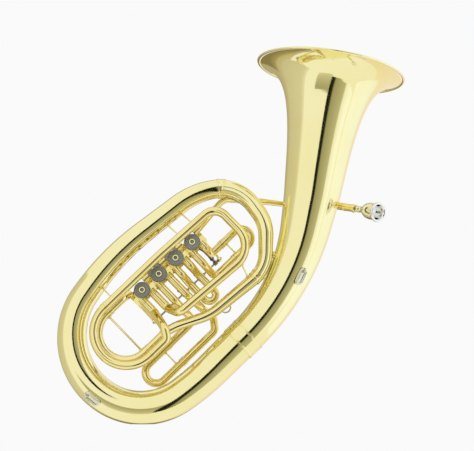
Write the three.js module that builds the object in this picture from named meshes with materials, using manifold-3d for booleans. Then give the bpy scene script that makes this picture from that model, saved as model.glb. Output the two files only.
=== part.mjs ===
// Oval baritone tuba with four rotary valves, standing bell up.
// Millimetres, +Z up, +X towards the bell, -Y towards the player.

import * as THREE from 'three';
import { mergeVertices } from 'three/addons/utils/BufferGeometryUtils.js';
import Module from 'manifold-3d';

const wasm = await Module();
wasm.setup();

// ---------------------------------------------------------------- dimensions

// Moves the whole instrument so that its box stands centred on the origin.
const PLACE = [-5.3, 0, -5.1];

// Clearance between two separate pieces.
const GAP = 0.35;

// Ferrules stand a little further off, as they bridge pieces of different facets.
const FERRULE_GAP = 0.9;

// Largest turn from one ring of a bent tube to the next, and sides of the tubes.
const ARC_STEP = Math.PI / 7;
const TUBE_SIDES = 8;
const ROD_SIDES = 6;
const DRUM_SIDES = 20;
const BELL_SIDES = 24;
const BOW_SIDES = 16;
const NARROW_SIDES = 12;

// Main tube from the bell rim to the small end: corner x, y, z and bend radius.
const MAIN_CORNERS = [
  [199, 0, 703, 0],
  [159, 0, 448, 400],
  [121, 0, 265, 426],
  [-59, 0, 87, 498],
  [-173, 0, 4, 130],
  [-304, 0, 104, 142],
  [-309, 0, 217, 137],
  [-233, 0, 329, 515],
  [-73, 0, 456, 152],
  [15, 0, 472, 79],
  [69, -7, 395, 82],
  [67, -15, 302, 73],
  [-39, -20, 213, 109],
  [-105, -20, 192, 150],
  [-123, -20, 181, 0],
];

// The bell flare follows radius = RIM * (START / (START + distance)) ^ POWER.
const FLARE_RIM = 147;
const FLARE_START = 12;
const FLARE_POWER = 0.311;
const FLARE_END = 236;

// Taper of the rest of the main tube: distance from the rim, outside radius.
const TAPER = [
  [FLARE_END, 57.2],
  [309, 50.4],
  [375, 44.8],
  [437, 40.4],
  [498, 37.4],
  [575, 35.6],
  [715, 33.8],
  [839, 32.4],
  [948, 30.8],
  [1052, 28.2],
  [1163, 25.4],
  [1281, 22.2],
  [1404, 19.6],
  [1496, 17.4],
  [1601, 15],
  [1702, 12.2],
  [1806, 10],
  [1910, 8.7],
];

const MAIN_WALL = 0.8;
const BELL_FIRST = 1.5;
const BELL_JOINT = 575;
const TOP_JOINT = 1462;
const BRANCH_JOINT = 1690;
const BELL_STEP = 62;
const BOW_STEP = 46;
const NARROW_STEP = 26;

// Valve section: its own frame runs u along the row of valves, v down the
// legs and w away from the player. Valve 4 is at u = 0.
const VALVE_ORIGIN = [-171.3, 0, 261.2];
const VALVE_ANGLE = THREE.MathUtils.degToRad(44.26);
const VALVE_PITCH = 44.8;
const CASING_RADIUS = 16.5;
const CASING_BORE = 14.7;
const CASING_FRONT = -17;
const CASING_BACK = 19;
const CASING_FLOOR = 16;
const CAP_RADIUS = 16.2;
const CAP_FRONT = -24;
const ROTOR_RADIUS = 14.2;
const STEM_RADIUS = 3.2;
const STEM_HOLE = 3.7;
const STEM_END = 37.6;
const PASSAGE_RADIUS = 4.6;
const LEG_OFFSET = 12.3;
const LEG_STUB = 20;
const TUBE_RADIUS = 7.75;
const TUBE_WALL = 0.8;
const INNER_LEG = 6;
const INNER_WALL = 0.8;
const NIPPLE_V = -13.5;
const BRACE_RADIUS = 1.6;

// Valve 4 loop, the front tube that runs round the whole section.
const FRONT_RADIUS = 8.6;
const FRONT_W = -40;
const FRONT_TOP_V = -23;
const FRONT_LOW_V = 104.5;
const FRONT_BOW = (FRONT_LOW_V - FRONT_TOP_V) / 2;
const FRONT_BOW_U = -77;
const FRONT_JOINT_U = -73;
const FRONT_LEG = 6.8;

// Main tuning slide, nested inside the front loop.
const TUNING_W = -20;
const TUNING_TOP_V = -14;
const TUNING_LOW_V = 90;
const TUNING_BOW = (TUNING_LOW_V - TUNING_TOP_V) / 2;
const TUNING_BOW_U = -79;
const TUNING_JOINT_U = -72;

// Slides of valves 1, 2 and 3.
const SLIDE1_W = 24;
const SLIDE1_TOP_V = 38;
const SLIDE1_LOW_V = 76;
const SLIDE1_JOINT_U = 177;
const SLIDE1_BOW_U = 213;
const SLIDE2_W = 22;
const SLIDE2_JOINT_V = 80;
const SLIDE2_BOW_V = 93.6;
const SLIDE3_W = 30;
const SLIDE3_TOP_V = 108;
const SLIDE3_LOW_V = 151;
const SLIDE3_JOINT_U = -37;
const SLIDE3_BOW_U = -89;

// Linkage: stop arm on each stem, link, and lever on one common axle.
const STOP_PIN = 6.36;
const STOP_FRONT = 34;
const STOP_BACK = 37;
const WING_REACH = 14.5;
const WING_HALF = 2.5;
const BUMPER_AT = [-3.65, 11.43];
const BUMPER_RADIUS = 2.6;
const LINK_U = 7.7;
const LINK_W = 39.8;
const AXLE_V = 50;
const AXLE_W = 80;
const AXLE_RADIUS = 2;
const TIP_V = AXLE_V - STOP_PIN;
const ARM_U = 12.4;
const PADDLE_V = -30;
const PADDLE_W = 88;
const PADDLE_SPACING = 26;
const PADDLE_MIDDLE = 76;

// Mouthpiece and its receiver lie on one straight line.
const RECEIVER_START = new THREE.Vector3(202, 45, 440);
const RIM_CENTRE = new THREE.Vector3(286, -52, 408);
const RECEIVER_LENGTH = 68;
const MOUTHPIECE_LENGTH = 85;

// Thumb ring behind the branch.
const THUMB_RING_AT = [-10.5, -3, 229.4];
const THUMB_RING_RADIUS = 10;

// Strap rings.
const STRAP_BAR = 13;
const STRAP_WIRE = 1.4;
const STRAP_AXIS = 4.6;

// ----------------------------------------------------------------- materials

function metal(color, roughness) {
  return new THREE.MeshStandardMaterial({ color, roughness, metalness: 1 });
}

const yellowBrass = () => metal(0xd9c66a, 0.16);
const goldBrass = () => metal(0xcfae55, 0.18);
const nickelSilver = () => metal(0xb9bab2, 0.2);
const mattNickel = () => metal(0x8f928c, 0.55);
const silverPlate = () => metal(0xd6d6d2, 0.12);
const steel = () => metal(0x8a8a88, 0.35);
const blackSteel = () => metal(0x2a2622, 0.45);

// ------------------------------------------------------------ geometry tools

// Merges shared corners, drops empty triangles and turns the faces outwards.
function closed(geometry) {
  const bare = geometry.clone();
  bare.deleteAttribute('normal');
  bare.deleteAttribute('uv');
  const merged = mergeVertices(bare, 1e-4);
  const at = merged.getAttribute('position');
  const corner = (i) => new THREE.Vector3().fromBufferAttribute(at, i);
  const faces = [];
  let volume = 0;
  for (let i = 0; i < merged.index.count; i += 3) {
    const [a, b, c] = [0, 1, 2].map((k) => merged.index.getX(i + k));
    if (a === b || b === c || c === a) continue;
    faces.push([a, b, c]);
    volume += corner(a).dot(corner(b).cross(corner(c)));
  }
  const order = volume < 0 ? ([a, b, c]) => [a, c, b] : (face) => face;
  merged.setIndex(faces.flatMap(order));
  return merged;
}

function solid(geometry) {
  const shape = closed(geometry);
  return new wasm.Manifold(new wasm.Mesh({
    numProp: 3,
    vertProperties: new Float32Array(shape.getAttribute('position').array),
    triVerts: new Uint32Array(shape.index.array),
  }));
}

function geometryOf(body) {
  const mesh = body.getMesh();
  const geometry = new THREE.BufferGeometry();
  const places = new THREE.BufferAttribute(new Float32Array(mesh.vertProperties), 3);
  geometry.setAttribute('position', places);
  geometry.setIndex(Array.from(mesh.triVerts));
  return geometry;
}

function joined(...bodies) {
  return bodies.reduce((sum, body) => sum.add(body));
}

function cut(body, ...tools) {
  return tools.reduce((rest, tool) => rest.subtract(tool), body);
}

function vector(corner) {
  return new THREE.Vector3(corner[0], corner[1], corner[2]);
}

// Straight runs between corners, each corner rounded to its bend radius.
function bentPath(corners, arcStep = ARC_STEP) {
  const points = [vector(corners[0])];
  for (let i = 1; i < corners.length - 1; i += 1) {
    const here = vector(corners[i]);
    const back = vector(corners[i - 1]).sub(here).normalize();
    const ahead = vector(corners[i + 1]).sub(here).normalize();
    const turn = Math.PI - back.angleTo(ahead);
    const radius = corners[i][3];
    const reach = radius * Math.tan(turn / 2);
    const toCentre = back.clone().add(ahead).normalize();
    const centre = here.clone().addScaledVector(toCentre, radius / Math.cos(turn / 2));
    const first = here.clone().addScaledVector(back, reach).sub(centre);
    const last = here.clone().addScaledVector(ahead, reach).sub(centre);
    const steps = Math.max(1, Math.ceil(turn / arcStep));
    for (let k = 0; k <= steps; k += 1) {
      const share = k / steps;
      const spoke = first.clone().multiplyScalar(Math.sin((1 - share) * turn));
      spoke.addScaledVector(last, Math.sin(share * turn));
      points.push(spoke.divideScalar(Math.sin(turn)).add(centre));
    }
  }
  points.push(vector(corners[corners.length - 1]));
  return points.filter((p, i) => i === 0 || p.distanceTo(points[i - 1]) > 0.02);
}

function distances(points) {
  const list = [0];
  for (let i = 1; i < points.length; i += 1) {
    list.push(list[i - 1] + points[i].distanceTo(points[i - 1]));
  }
  return list;
}

function pointAt(points, along, distance) {
  let i = 1;
  while (i < points.length - 1 && along[i] < distance) i += 1;
  const share = (distance - along[i - 1]) / (along[i] - along[i - 1]);
  return points[i - 1].clone().lerp(points[i], share);
}

// The path from one distance to another with a ring at most `step` apart.
function stretch(points, from, to, step, extra = []) {
  const along = distances(points);
  const count = Math.ceil((to - from) / step);
  const even = Array.from({ length: count + 1 }, (_, i) => from + ((to - from) * i) / count);
  const marks = extra.filter((d) => d > from && d < to);
  const all = [...even, ...marks].sort((a, b) => a - b);
  const stops = all.filter((d, i) => i === 0 || d - all[i - 1] > 0.2);
  return stops.map((d) => {
    const point = pointAt(points, along, d);
    const tangent = pointAt(points, along, d + 3).sub(pointAt(points, along, d - 3));
    return { point, distance: d, tangent: tangent.normalize() };
  });
}

// Adds rings at given distances to a bent path, for steps in the radius.
function marked(points, marks = []) {
  const along = distances(points);
  const rings = points.map((point, i) => ({ point, distance: along[i] }));
  for (const distance of marks) {
    rings.push({ point: pointAt(points, along, distance), distance });
  }
  rings.sort((a, b) => a.distance - b.distance);
  return rings.filter((r, i) => i === 0 || r.distance - rings[i - 1].distance > 0.02);
}

function radiusOf(rule, distance) {
  return typeof rule === 'function' ? rule(distance) : rule;
}

// Closed tube along rings. Without an inner radius the tube is solid.
function sweep(rings, outer, inner, sides) {
  const count = rings.length;
  const tangents = rings.map((ring, i) => {
    if (ring.tangent) return ring.tangent;
    const before = rings[Math.max(i - 1, 0)].point;
    const after = rings[Math.min(i + 1, count - 1)].point;
    const back = ring.point.clone().sub(before).normalize();
    const ahead = after.clone().sub(ring.point).normalize();
    return back.add(ahead).normalize();
  });
  const depth = new THREE.Vector3(0, 0, 1);
  const height = new THREE.Vector3(1, 0, 0);
  let normal = Math.abs(tangents[0].dot(depth)) < 0.9 ? depth : height;
  const places = [];
  const shells = inner === undefined ? [outer] : [outer, inner];
  for (const rule of shells) {
    let side = normal.clone();
    rings.forEach((ring, i) => {
      const along = tangents[i];
      side = side.clone().addScaledVector(along, -side.dot(along)).normalize();
      const across = along.clone().cross(side);
      const radius = radiusOf(rule, ring.distance);
      for (let k = 0; k < sides; k += 1) {
        const angle = (k * 2 * Math.PI) / sides;
        const place = ring.point.clone();
        place.addScaledVector(side, radius * Math.cos(angle));
        place.addScaledVector(across, radius * Math.sin(angle));
        places.push(place.x, place.y, place.z);
      }
    });
  }
  const at = (shell, i, k) => (shell * count + i) * sides + (k % sides);
  const faces = [];
  const quad = (a, b, c, d) => faces.push(a, b, c, a, c, d);
  for (let k = 0; k < sides; k += 1) {
    for (let i = 0; i < count - 1; i += 1) {
      quad(at(0, i, k), at(0, i, k + 1), at(0, i + 1, k + 1), at(0, i + 1, k));
      if (inner !== undefined) {
        quad(at(1, i, k), at(1, i + 1, k), at(1, i + 1, k + 1), at(1, i, k + 1));
      }
    }
    if (inner !== undefined) {
      quad(at(0, 0, k + 1), at(0, 0, k), at(1, 0, k), at(1, 0, k + 1));
      const last = count - 1;
      quad(at(0, last, k), at(0, last, k + 1), at(1, last, k + 1), at(1, last, k));
    }
  }
  if (inner === undefined) {
    [0, count - 1].forEach((i, end) => {
      const centre = places.length / 3;
      places.push(rings[i].point.x, rings[i].point.y, rings[i].point.z);
      for (let k = 0; k < sides; k += 1) {
        const pair = [at(0, i, k), at(0, i, k + 1)];
        faces.push(centre, ...(end ? pair : pair.reverse()));
      }
    });
  }
  const geometry = new THREE.BufferGeometry();
  geometry.setAttribute('position', new THREE.Float32BufferAttribute(places, 3));
  geometry.setIndex(faces);
  return geometry;
}

function tube(corners, radius, wall, sides = TUBE_SIDES, marks = []) {
  const inner = typeof radius === 'function' ? (d) => radius(d) - wall : radius - wall;
  return sweep(marked(bentPath(corners), marks), radius, inner, sides);
}

function rod(corners, radius, sides = ROD_SIDES) {
  return sweep(marked(bentPath(corners)), radius, undefined, sides);
}

// Turned piece: outline of radius and height pairs, spun round +Z.
function turned(outline, sides = DRUM_SIDES) {
  const ends = outline[0][0] === 0 ? outline : [...outline, outline[0]];
  const lathe = new THREE.LatheGeometry(ends.map(([r, z]) => new THREE.Vector2(r, z)), sides);
  return lathe.rotateX(Math.PI / 2);
}

function disc(radius, from, to, sides = DRUM_SIDES) {
  return turned([[0, from], [radius, from], [radius, to], [0, to]], sides);
}

// A cylinder between two points.
function bar(from, to, radius, sides = TUBE_SIDES) {
  return rod([[...from, 0], [...to, 0]], radius, sides);
}

function block(size, centre) {
  return new THREE.BoxGeometry(...size).translate(...centre);
}

// ------------------------------------------------------------------ assembly

const names = new Set();

function piece(parent, name, geometry, material) {
  if (names.has(name)) throw new Error(`two pieces named ${name}`);
  names.add(name);
  const mesh = new THREE.Mesh(closed(geometry), material);
  mesh.name = name;
  parent.add(mesh);
  return mesh;
}

// ---------------------------------------------------------------- main tube

const mainPath = bentPath(MAIN_CORNERS, Math.PI / 60);
const mainAlong = distances(mainPath);
const mainLength = mainAlong[mainAlong.length - 1];

function taperRadius(distance) {
  let i = 1;
  while (i < TAPER.length - 1 && TAPER[i][0] < distance) i += 1;
  const [d0, r0] = TAPER[i - 1];
  const [d1, r1] = TAPER[i];
  return r0 + ((r1 - r0) * (distance - d0)) / (d1 - d0);
}

function mainRadius(distance) {
  if (distance >= FLARE_END) return taperRadius(distance);
  return FLARE_RIM * (FLARE_START / (FLARE_START + distance)) ** FLARE_POWER;
}

function mainBore(distance) {
  const slope = (mainRadius(distance) - mainRadius(distance + 0.5)) / 0.5;
  return mainRadius(distance) - MAIN_WALL * Math.hypot(1, slope);
}

// Place, direction and sideways direction of the main tube at a distance.
function mainFrame(distance) {
  const centre = pointAt(mainPath, mainAlong, distance);
  const along = pointAt(mainPath, mainAlong, distance + 2).sub(centre).normalize();
  const towardsPlayer = new THREE.Vector3(0, -1, 0);
  const side = towardsPlayer.clone().cross(along).normalize();
  return { centre, along, side, towardsPlayer };
}

// The four lengths of the main tube, each with its rings and its sides.
const FLARE_RINGS = [4.5, 9, 16, 27, 42, 62, 85];
const GARLAND_HALF = 16;
const FERRULE_HALF = 8;
const LENGTHS = {
  bell: {
    rings: stretch(mainPath, BELL_FIRST, BELL_JOINT, BELL_STEP,
      [...FLARE_RINGS, BELL_JOINT - GARLAND_HALF]),
    sides: BELL_SIDES,
  },
  lower_bow: {
    rings: stretch(mainPath, BELL_JOINT + GAP, TOP_JOINT, BOW_STEP,
      [BELL_JOINT + GARLAND_HALF, TOP_JOINT - FERRULE_HALF]),
    sides: BOW_SIDES,
  },
  upper_bow: {
    rings: stretch(mainPath, TOP_JOINT + GAP, BRANCH_JOINT, NARROW_STEP,
      [TOP_JOINT + FERRULE_HALF, BRANCH_JOINT - FERRULE_HALF]),
    sides: NARROW_SIDES,
  },
  branch: {
    rings: stretch(mainPath, BRANCH_JOINT + GAP, mainLength, NARROW_STEP,
      [BRANCH_JOINT + FERRULE_HALF]),
    sides: NARROW_SIDES,
  },
};

function mainPiece(name) {
  const { rings, sides } = LENGTHS[name];
  return sweep(rings, mainRadius, mainBore, sides);
}

// The space a length of the main tube needs, as one solid.
function mainKeepOut(name) {
  const { rings, sides } = LENGTHS[name];
  return sweep(rings, (d) => mainRadius(d) + GAP + 0.05, undefined, sides);
}

// Sleeve over a joint of the main tube.
function ferrule(at, half, height, sides) {
  const inner = (d) => mainRadius(d) + FERRULE_GAP;
  const rings = stretch(mainPath, at - half, at + half, half);
  return sweep(rings, (d) => inner(d) + height, inner, sides);
}

function addMainTube(parent) {
  piece(parent, 'bell', mainPiece('bell'), yellowBrass());
  const { centre, along } = mainFrame(0);
  const bead = turned([
    [142.6, -0.8], [144, -2.6], [147.2, -2.6], [148.6, 0], [147.2, 2.6], [142.6, 2.6],
  ], BELL_SIDES);
  const rim = piece(parent, 'bell_rim', bead, yellowBrass());
  rim.position.copy(centre);
  rim.quaternion.setFromUnitVectors(new THREE.Vector3(0, 0, 1), along);
  piece(parent, 'lower_bow', mainPiece('lower_bow'), yellowBrass());
  piece(parent, 'upper_bow', mainPiece('upper_bow'), yellowBrass());
  piece(parent, 'branch', mainPiece('branch'), goldBrass());
  const garland = ferrule(BELL_JOINT, GARLAND_HALF, 1.6, BELL_SIDES);
  piece(parent, 'bell_garland', garland, yellowBrass());
  const upper = ferrule(TOP_JOINT, FERRULE_HALF, 1.4, BOW_SIDES);
  piece(parent, 'upper_bow_ferrule', upper, yellowBrass());
  const small = ferrule(BRANCH_JOINT, FERRULE_HALF, 1.4, NARROW_SIDES);
  piece(parent, 'branch_ferrule', small, goldBrass());
}

// ------------------------------------------------------------- valve section

const U = new THREE.Vector3(Math.cos(VALVE_ANGLE), 0, Math.sin(VALVE_ANGLE));
const V = new THREE.Vector3(Math.sin(VALVE_ANGLE), 0, -Math.cos(VALVE_ANGLE));
const W = new THREE.Vector3(0, 1, 0);

const FROM_SECTION = new THREE.Matrix4().makeBasis(U, V, W).setPosition(...VALVE_ORIGIN);
const TO_SECTION = FROM_SECTION.clone().invert();

function valveGroup(parent) {
  const group = new THREE.Group();
  group.applyMatrix4(FROM_SECTION);
  parent.add(group);
  return group;
}

// Turns a point of the instrument into the valve section's own frame.
function toValve(point) {
  return point.clone().applyMatrix4(TO_SECTION).toArray();
}

function valveU(number) {
  return (4 - number) * VALVE_PITCH;
}

// Casing with its two leg stubs and the line tube on the side of the next valve.
// The casing of valve 2 also carries the whole of its two slide sleeves.
function casing(u, lineTo, longLegs) {
  const shell = solid(disc(CASING_RADIUS, CASING_FRONT, CASING_BACK).translate(u, 0, 0));
  const bore = solid(disc(CASING_BORE, CASING_FRONT - 1, CASING_FLOOR).translate(u, 0, 0));
  const stemHole = solid(disc(STEM_HOLE, 0, CASING_BACK + 1, ROD_SIDES * 2).translate(u, 0, 0));
  const sides = [-1, 1].map((side) => u + side * LEG_OFFSET);
  const legs = sides.map((x) => solid(bar([x, 6, 0], [x, LEG_STUB, 0], TUBE_RADIUS)));
  const holes = sides.map((x) => {
    const start = [x, 5, 0];
    return solid(bar(start, [x, LEG_STUB + 1, 0], TUBE_RADIUS - 1.6));
  });
  let body = joined(shell, ...legs);
  const tools = [bore, stemHole, ...holes];
  if (lineTo) {
    const from = u + 9.5;
    const to = u + VALVE_PITCH - 9.5;
    body = body.add(solid(bar([from, NIPPLE_V, 0], [to, NIPPLE_V, 0], TUBE_RADIUS)));
    tools.push(solid(bar([from, NIPPLE_V, 0], [to + 1, NIPPLE_V, 0], TUBE_RADIUS - 1.6)));
    const clear = disc(CASING_RADIUS + GAP, CASING_FRONT - 9, CASING_BACK + 9);
    tools.push(solid(clear.translate(u + VALVE_PITCH, 0, 0)));
  }
  if (longLegs) {
    for (const x of sides) {
      const corners = [
        [x, LEG_STUB - 6, 0, 0], [x, 30, 0, 9], [x, 50, SLIDE2_W, 9],
        [x, SLIDE2_JOINT_V, SLIDE2_W, 0],
      ];
      body = body.add(solid(sleeveSkin(corners, TUBE_RADIUS)));
      tools.push(solid(rod([...corners.slice(0, 3), [x, SLIDE2_JOINT_V + 1, SLIDE2_W, 0]],
        TUBE_RADIUS - TUBE_WALL, TUBE_SIDES)));
    }
  }
  return geometryOf(cut(body, ...tools));
}

// Screwed cap: knurled edge, shallow dish and a raised ring round the bearing.
function cap() {
  const face = CAP_FRONT;
  return turned([
    [0, CASING_FRONT - GAP], [CAP_RADIUS, CASING_FRONT - GAP], [CAP_RADIUS, face + 1.2],
    [CAP_RADIUS - 1.2, face], [6, face + 0.5], [5.6, face - 1.6], [3.4, face - 1.6],
    [3, face + 1.4], [0, face + 1.4],
  ]);
}

// Rotor with its two bent air passages and the stem that carries the stop arm.
function rotor() {
  const drum = disc(ROTOR_RADIUS, CASING_FRONT + GAP, CASING_FLOOR - GAP);
  const stem = disc(STEM_RADIUS, 0, STEM_END, TUBE_SIDES);
  const passage = (side) => {
    const wide = ROTOR_RADIUS;
    const corners = [[-wide, side * wide, 0, 0], [0, 0, 0, 13], [wide, side * wide, 0, 0]];
    return solid(rod(corners, PASSAGE_RADIUS));
  };
  return geometryOf(cut(joined(solid(drum), solid(stem)), passage(1), passage(-1)));
}

// Stop arm at rest: its pin end points to -v, its wing to the first bumper.
function stopArm() {
  const pinEnd = [STOP_PIN, -STOP_PIN];
  const reach = WING_REACH * Math.SQRT1_2;
  const plate = block([WING_HALF * 2, 9 + WING_REACH, STOP_BACK - STOP_FRONT], [0, 0, 0]);
  plate.translate(0, (9 - WING_REACH) / 2, 0).rotateZ((-3 * Math.PI) / 4);
  plate.translate(0, 0, (STOP_FRONT + STOP_BACK) / 2);
  const pad = disc(3.4, STOP_FRONT, STOP_BACK, TUBE_SIDES).translate(...pinEnd, 0);
  const tip = disc(WING_HALF, STOP_FRONT, STOP_BACK, TUBE_SIDES).translate(-reach, reach, 0);
  const hub = disc(6, STOP_FRONT - 1, STOP_BACK, 12);
  const hole = disc(STEM_HOLE, STOP_FRONT - 3, STOP_BACK + 3, 12);
  const body = joined(solid(plate), solid(pad), solid(tip), solid(hub));
  return geometryOf(cut(body, solid(hole)));
}

// Link: flat socket over the stop arm, thin rod, eye on the lever's pin.
function link() {
  const socket = disc(3.8, LINK_W - 1.5, LINK_W + 1.5, TUBE_SIDES).translate(LINK_U, -STOP_PIN, 0);
  const shaft = bar([LINK_U, -STOP_PIN, LINK_W], [LINK_U, TIP_V - 2.6, LINK_W], 1.3, ROD_SIDES);
  const eye = bar([LINK_U - 1.5, TIP_V, LINK_W], [LINK_U + 1.5, TIP_V, LINK_W], 3.4, 12);
  const hole = bar([LINK_U - 3, TIP_V, LINK_W], [LINK_U + 3, TIP_V, LINK_W], 1.9, 12);
  return geometryOf(cut(joined(solid(socket), solid(shaft), solid(eye)), solid(hole)));
}

// Lever of one valve: pin for the link, short arm, hub and finger paddle.
function lever(paddleU) {
  const pin = bar([LINK_U - 2.6, TIP_V, LINK_W], [ARM_U, TIP_V, LINK_W], 1.4);
  const shortArm = bar([ARM_U, TIP_V, LINK_W - 1.5], [ARM_U, AXLE_V, AXLE_W], 2.1, ROD_SIDES);
  const hub = bar([ARM_U - 4, AXLE_V, AXLE_W], [ARM_U + 4, AXLE_V, AXLE_W], 4.6, 12);
  const arm = rod([
    [ARM_U, AXLE_V, AXLE_W, 0], [ARM_U, 0, 86, 30],
    [paddleU, -14, PADDLE_W, 8], [paddleU, PADDLE_V, PADDLE_W, 0],
  ], 2.1);
  const outline = new THREE.Shape();
  outline.absellipse(0, 0, 11, 14, 0, 2 * Math.PI);
  const options = { depth: 3, bevelEnabled: false, curveSegments: 7 };
  const paddle = new THREE.ExtrudeGeometry(outline, options);
  paddle.translate(paddleU, PADDLE_V, PADDLE_W);
  const hole = bar([ARM_U - 6, AXLE_V, AXLE_W], [ARM_U + 6, AXLE_V, AXLE_W], 2.5, 12);
  const body = joined(solid(pin), solid(shortArm), solid(hub), solid(arm), solid(paddle));
  return geometryOf(cut(body, solid(hole)));
}

// Plate behind the casings with the cork bumpers and the two lever posts.
function carriage() {
  const first = -26;
  const last = 3 * VALVE_PITCH + 28;
  const from = CASING_BACK + GAP;
  const thick = 2;
  const plate = block([last - first, 30, thick], [(first + last) / 2, 0, from + thick / 2]);
  const bodies = [solid(plate)];
  const tools = [];
  for (let k = 0; k < 4; k += 1) {
    const u = k * VALVE_PITCH;
    tools.push(solid(disc(5, from - 1, from + thick + 1, 12).translate(u, 0, 0)));
    for (const side of [-1, 1]) {
      const bumper = disc(BUMPER_RADIUS, from + 1, STOP_BACK, TUBE_SIDES);
      bodies.push(solid(bumper.translate(u + BUMPER_AT[0], side * BUMPER_AT[1], 0)));
    }
  }
  for (const u of [first + 4, last - 4]) {
    const post = rod([
      [u, 8, from + 1, 0], [u, 8, 46, 12], [u, AXLE_V, AXLE_W - 6, 12], [u, AXLE_V, AXLE_W, 0],
    ], 2.6);
    const eye = bar([u - 3, AXLE_V, AXLE_W], [u + 3, AXLE_V, AXLE_W], 5, 12);
    bodies.push(solid(post), solid(eye));
    tools.push(solid(bar([u - 4, AXLE_V, AXLE_W], [u + 4, AXLE_V, AXLE_W], 2.5, 12)));
  }
  return geometryOf(cut(joined(...bodies), ...tools));
}

function addValves(section) {
  for (let number = 1; number <= 4; number += 1) {
    const u = valveU(number);
    const lineTo = number > 1;
    piece(section, `valve_casing_${number}`, casing(u, lineTo, number === 2), yellowBrass());
    const place = (name, geometry, material) => {
      piece(section, `${name}_${number}`, geometry, material).position.x = u;
    };
    place('valve_cap', cap(), mattNickel());
    place('rotor', rotor(), nickelSilver());
    place('stop_arm', stopArm(), blackSteel());
    place('link', link(), blackSteel());
    const paddleU = PADDLE_MIDDLE + (2.5 - number) * PADDLE_SPACING - u;
    place('lever', lever(paddleU), nickelSilver());
  }
  piece(section, 'valve_carriage', carriage(), yellowBrass());
  const axle = bar([-27, AXLE_V, AXLE_W], [3 * VALVE_PITCH + 29, AXLE_V, AXLE_W], AXLE_RADIUS);
  piece(section, 'lever_axle', axle, steel());
}

// ------------------------------------------------------------ loops, slides

// Outer slide tube: a bent tube with a thicker ring at its open end.
function sleeve(corners, radius, sides = TUBE_SIDES) {
  return sleeveSkin(corners, radius, radius - TUBE_WALL, sides);
}

// The same without its bore, for joining to other pieces first.
function sleeveSkin(corners, radius, bore, sides = TUBE_SIDES) {
  const total = distances(bentPath(corners)).at(-1);
  const edge = total - 5;
  const outer = (d) => (d > edge - 0.1 ? radius + 0.9 : radius);
  return sweep(marked(bentPath(corners), [edge - 0.2, edge]), outer, bore, sides);
}

// U slide: thin legs that run in the sleeves and a full-size bow between them.
function slide(corners, legLength, radius, leg) {
  const points = bentPath(corners);
  const total = distances(points).at(-1);
  const near = legLength;
  const far = total - legLength;
  const outer = (d) => (d < near - 0.05 || d > far + 0.05 ? leg : radius);
  const marks = [near - 0.1, near, far, far + 0.1];
  return sweep(marked(points, marks), outer, leg - INNER_WALL, TUBE_SIDES);
}

function addFrontLoop(section) {
  const w = FRONT_W;
  const start = LEG_STUB + GAP;
  const corners = [
    [LEG_OFFSET, start, 0, 0], [LEG_OFFSET, 58, 0, 16], [20, 84, w, 16],
    [214.5, 97, w, 48], [214.5, -17.5, w, 28], [70, FRONT_TOP_V, w, 200],
    [FRONT_JOINT_U, FRONT_TOP_V, w, 0],
  ];
  const stays = [
    [[159, -19.6, w], 1361], [[124, -21, w], 1326], [[-52, FRONT_TOP_V, w], 1150],
    [[173, 94.2, w], 1690 + 16],
  ];
  const rods = stays.map(([from, distance]) => {
    const target = toValve(pointAt(mainPath, mainAlong, distance));
    return solid(bar(from, target, BRACE_RADIUS, ROD_SIDES));
  });
  const skin = solid(sleeveSkin(corners, FRONT_RADIUS));
  const bore = solid(rod(corners, FRONT_RADIUS - TUBE_WALL, TUBE_SIDES));
  const keepOuts = ['lower_bow', 'branch'].map((name) => mainKeepOut(name).applyMatrix4(TO_SECTION));
  const front = cut(joined(skin, ...rods), bore, ...keepOuts.map(solid));
  piece(section, 'valve_4_front_tube', geometryOf(front), yellowBrass());
  const back = sleeve([
    [-LEG_OFFSET, start, 0, 0], [-LEG_OFFSET, 44, 0, 14], [-20, 84, w, 14],
    [-32, FRONT_LOW_V, w, 12], [FRONT_JOINT_U, FRONT_LOW_V, w, 0],
  ], FRONT_RADIUS);
  piece(section, 'valve_4_return_tube', back, yellowBrass());
  const far = FRONT_BOW_U - FRONT_BOW;
  const legs = 30;
  const ends = FRONT_JOINT_U - GAP - 0.1 + legs;
  piece(section, 'valve_4_slide', slide([
    [ends, FRONT_TOP_V, w, 0], [far, FRONT_TOP_V, w, FRONT_BOW],
    [far, FRONT_LOW_V, w, FRONT_BOW], [ends, FRONT_LOW_V, w, 0],
  ], legs, FRONT_RADIUS, FRONT_LEG), yellowBrass());
}

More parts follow.
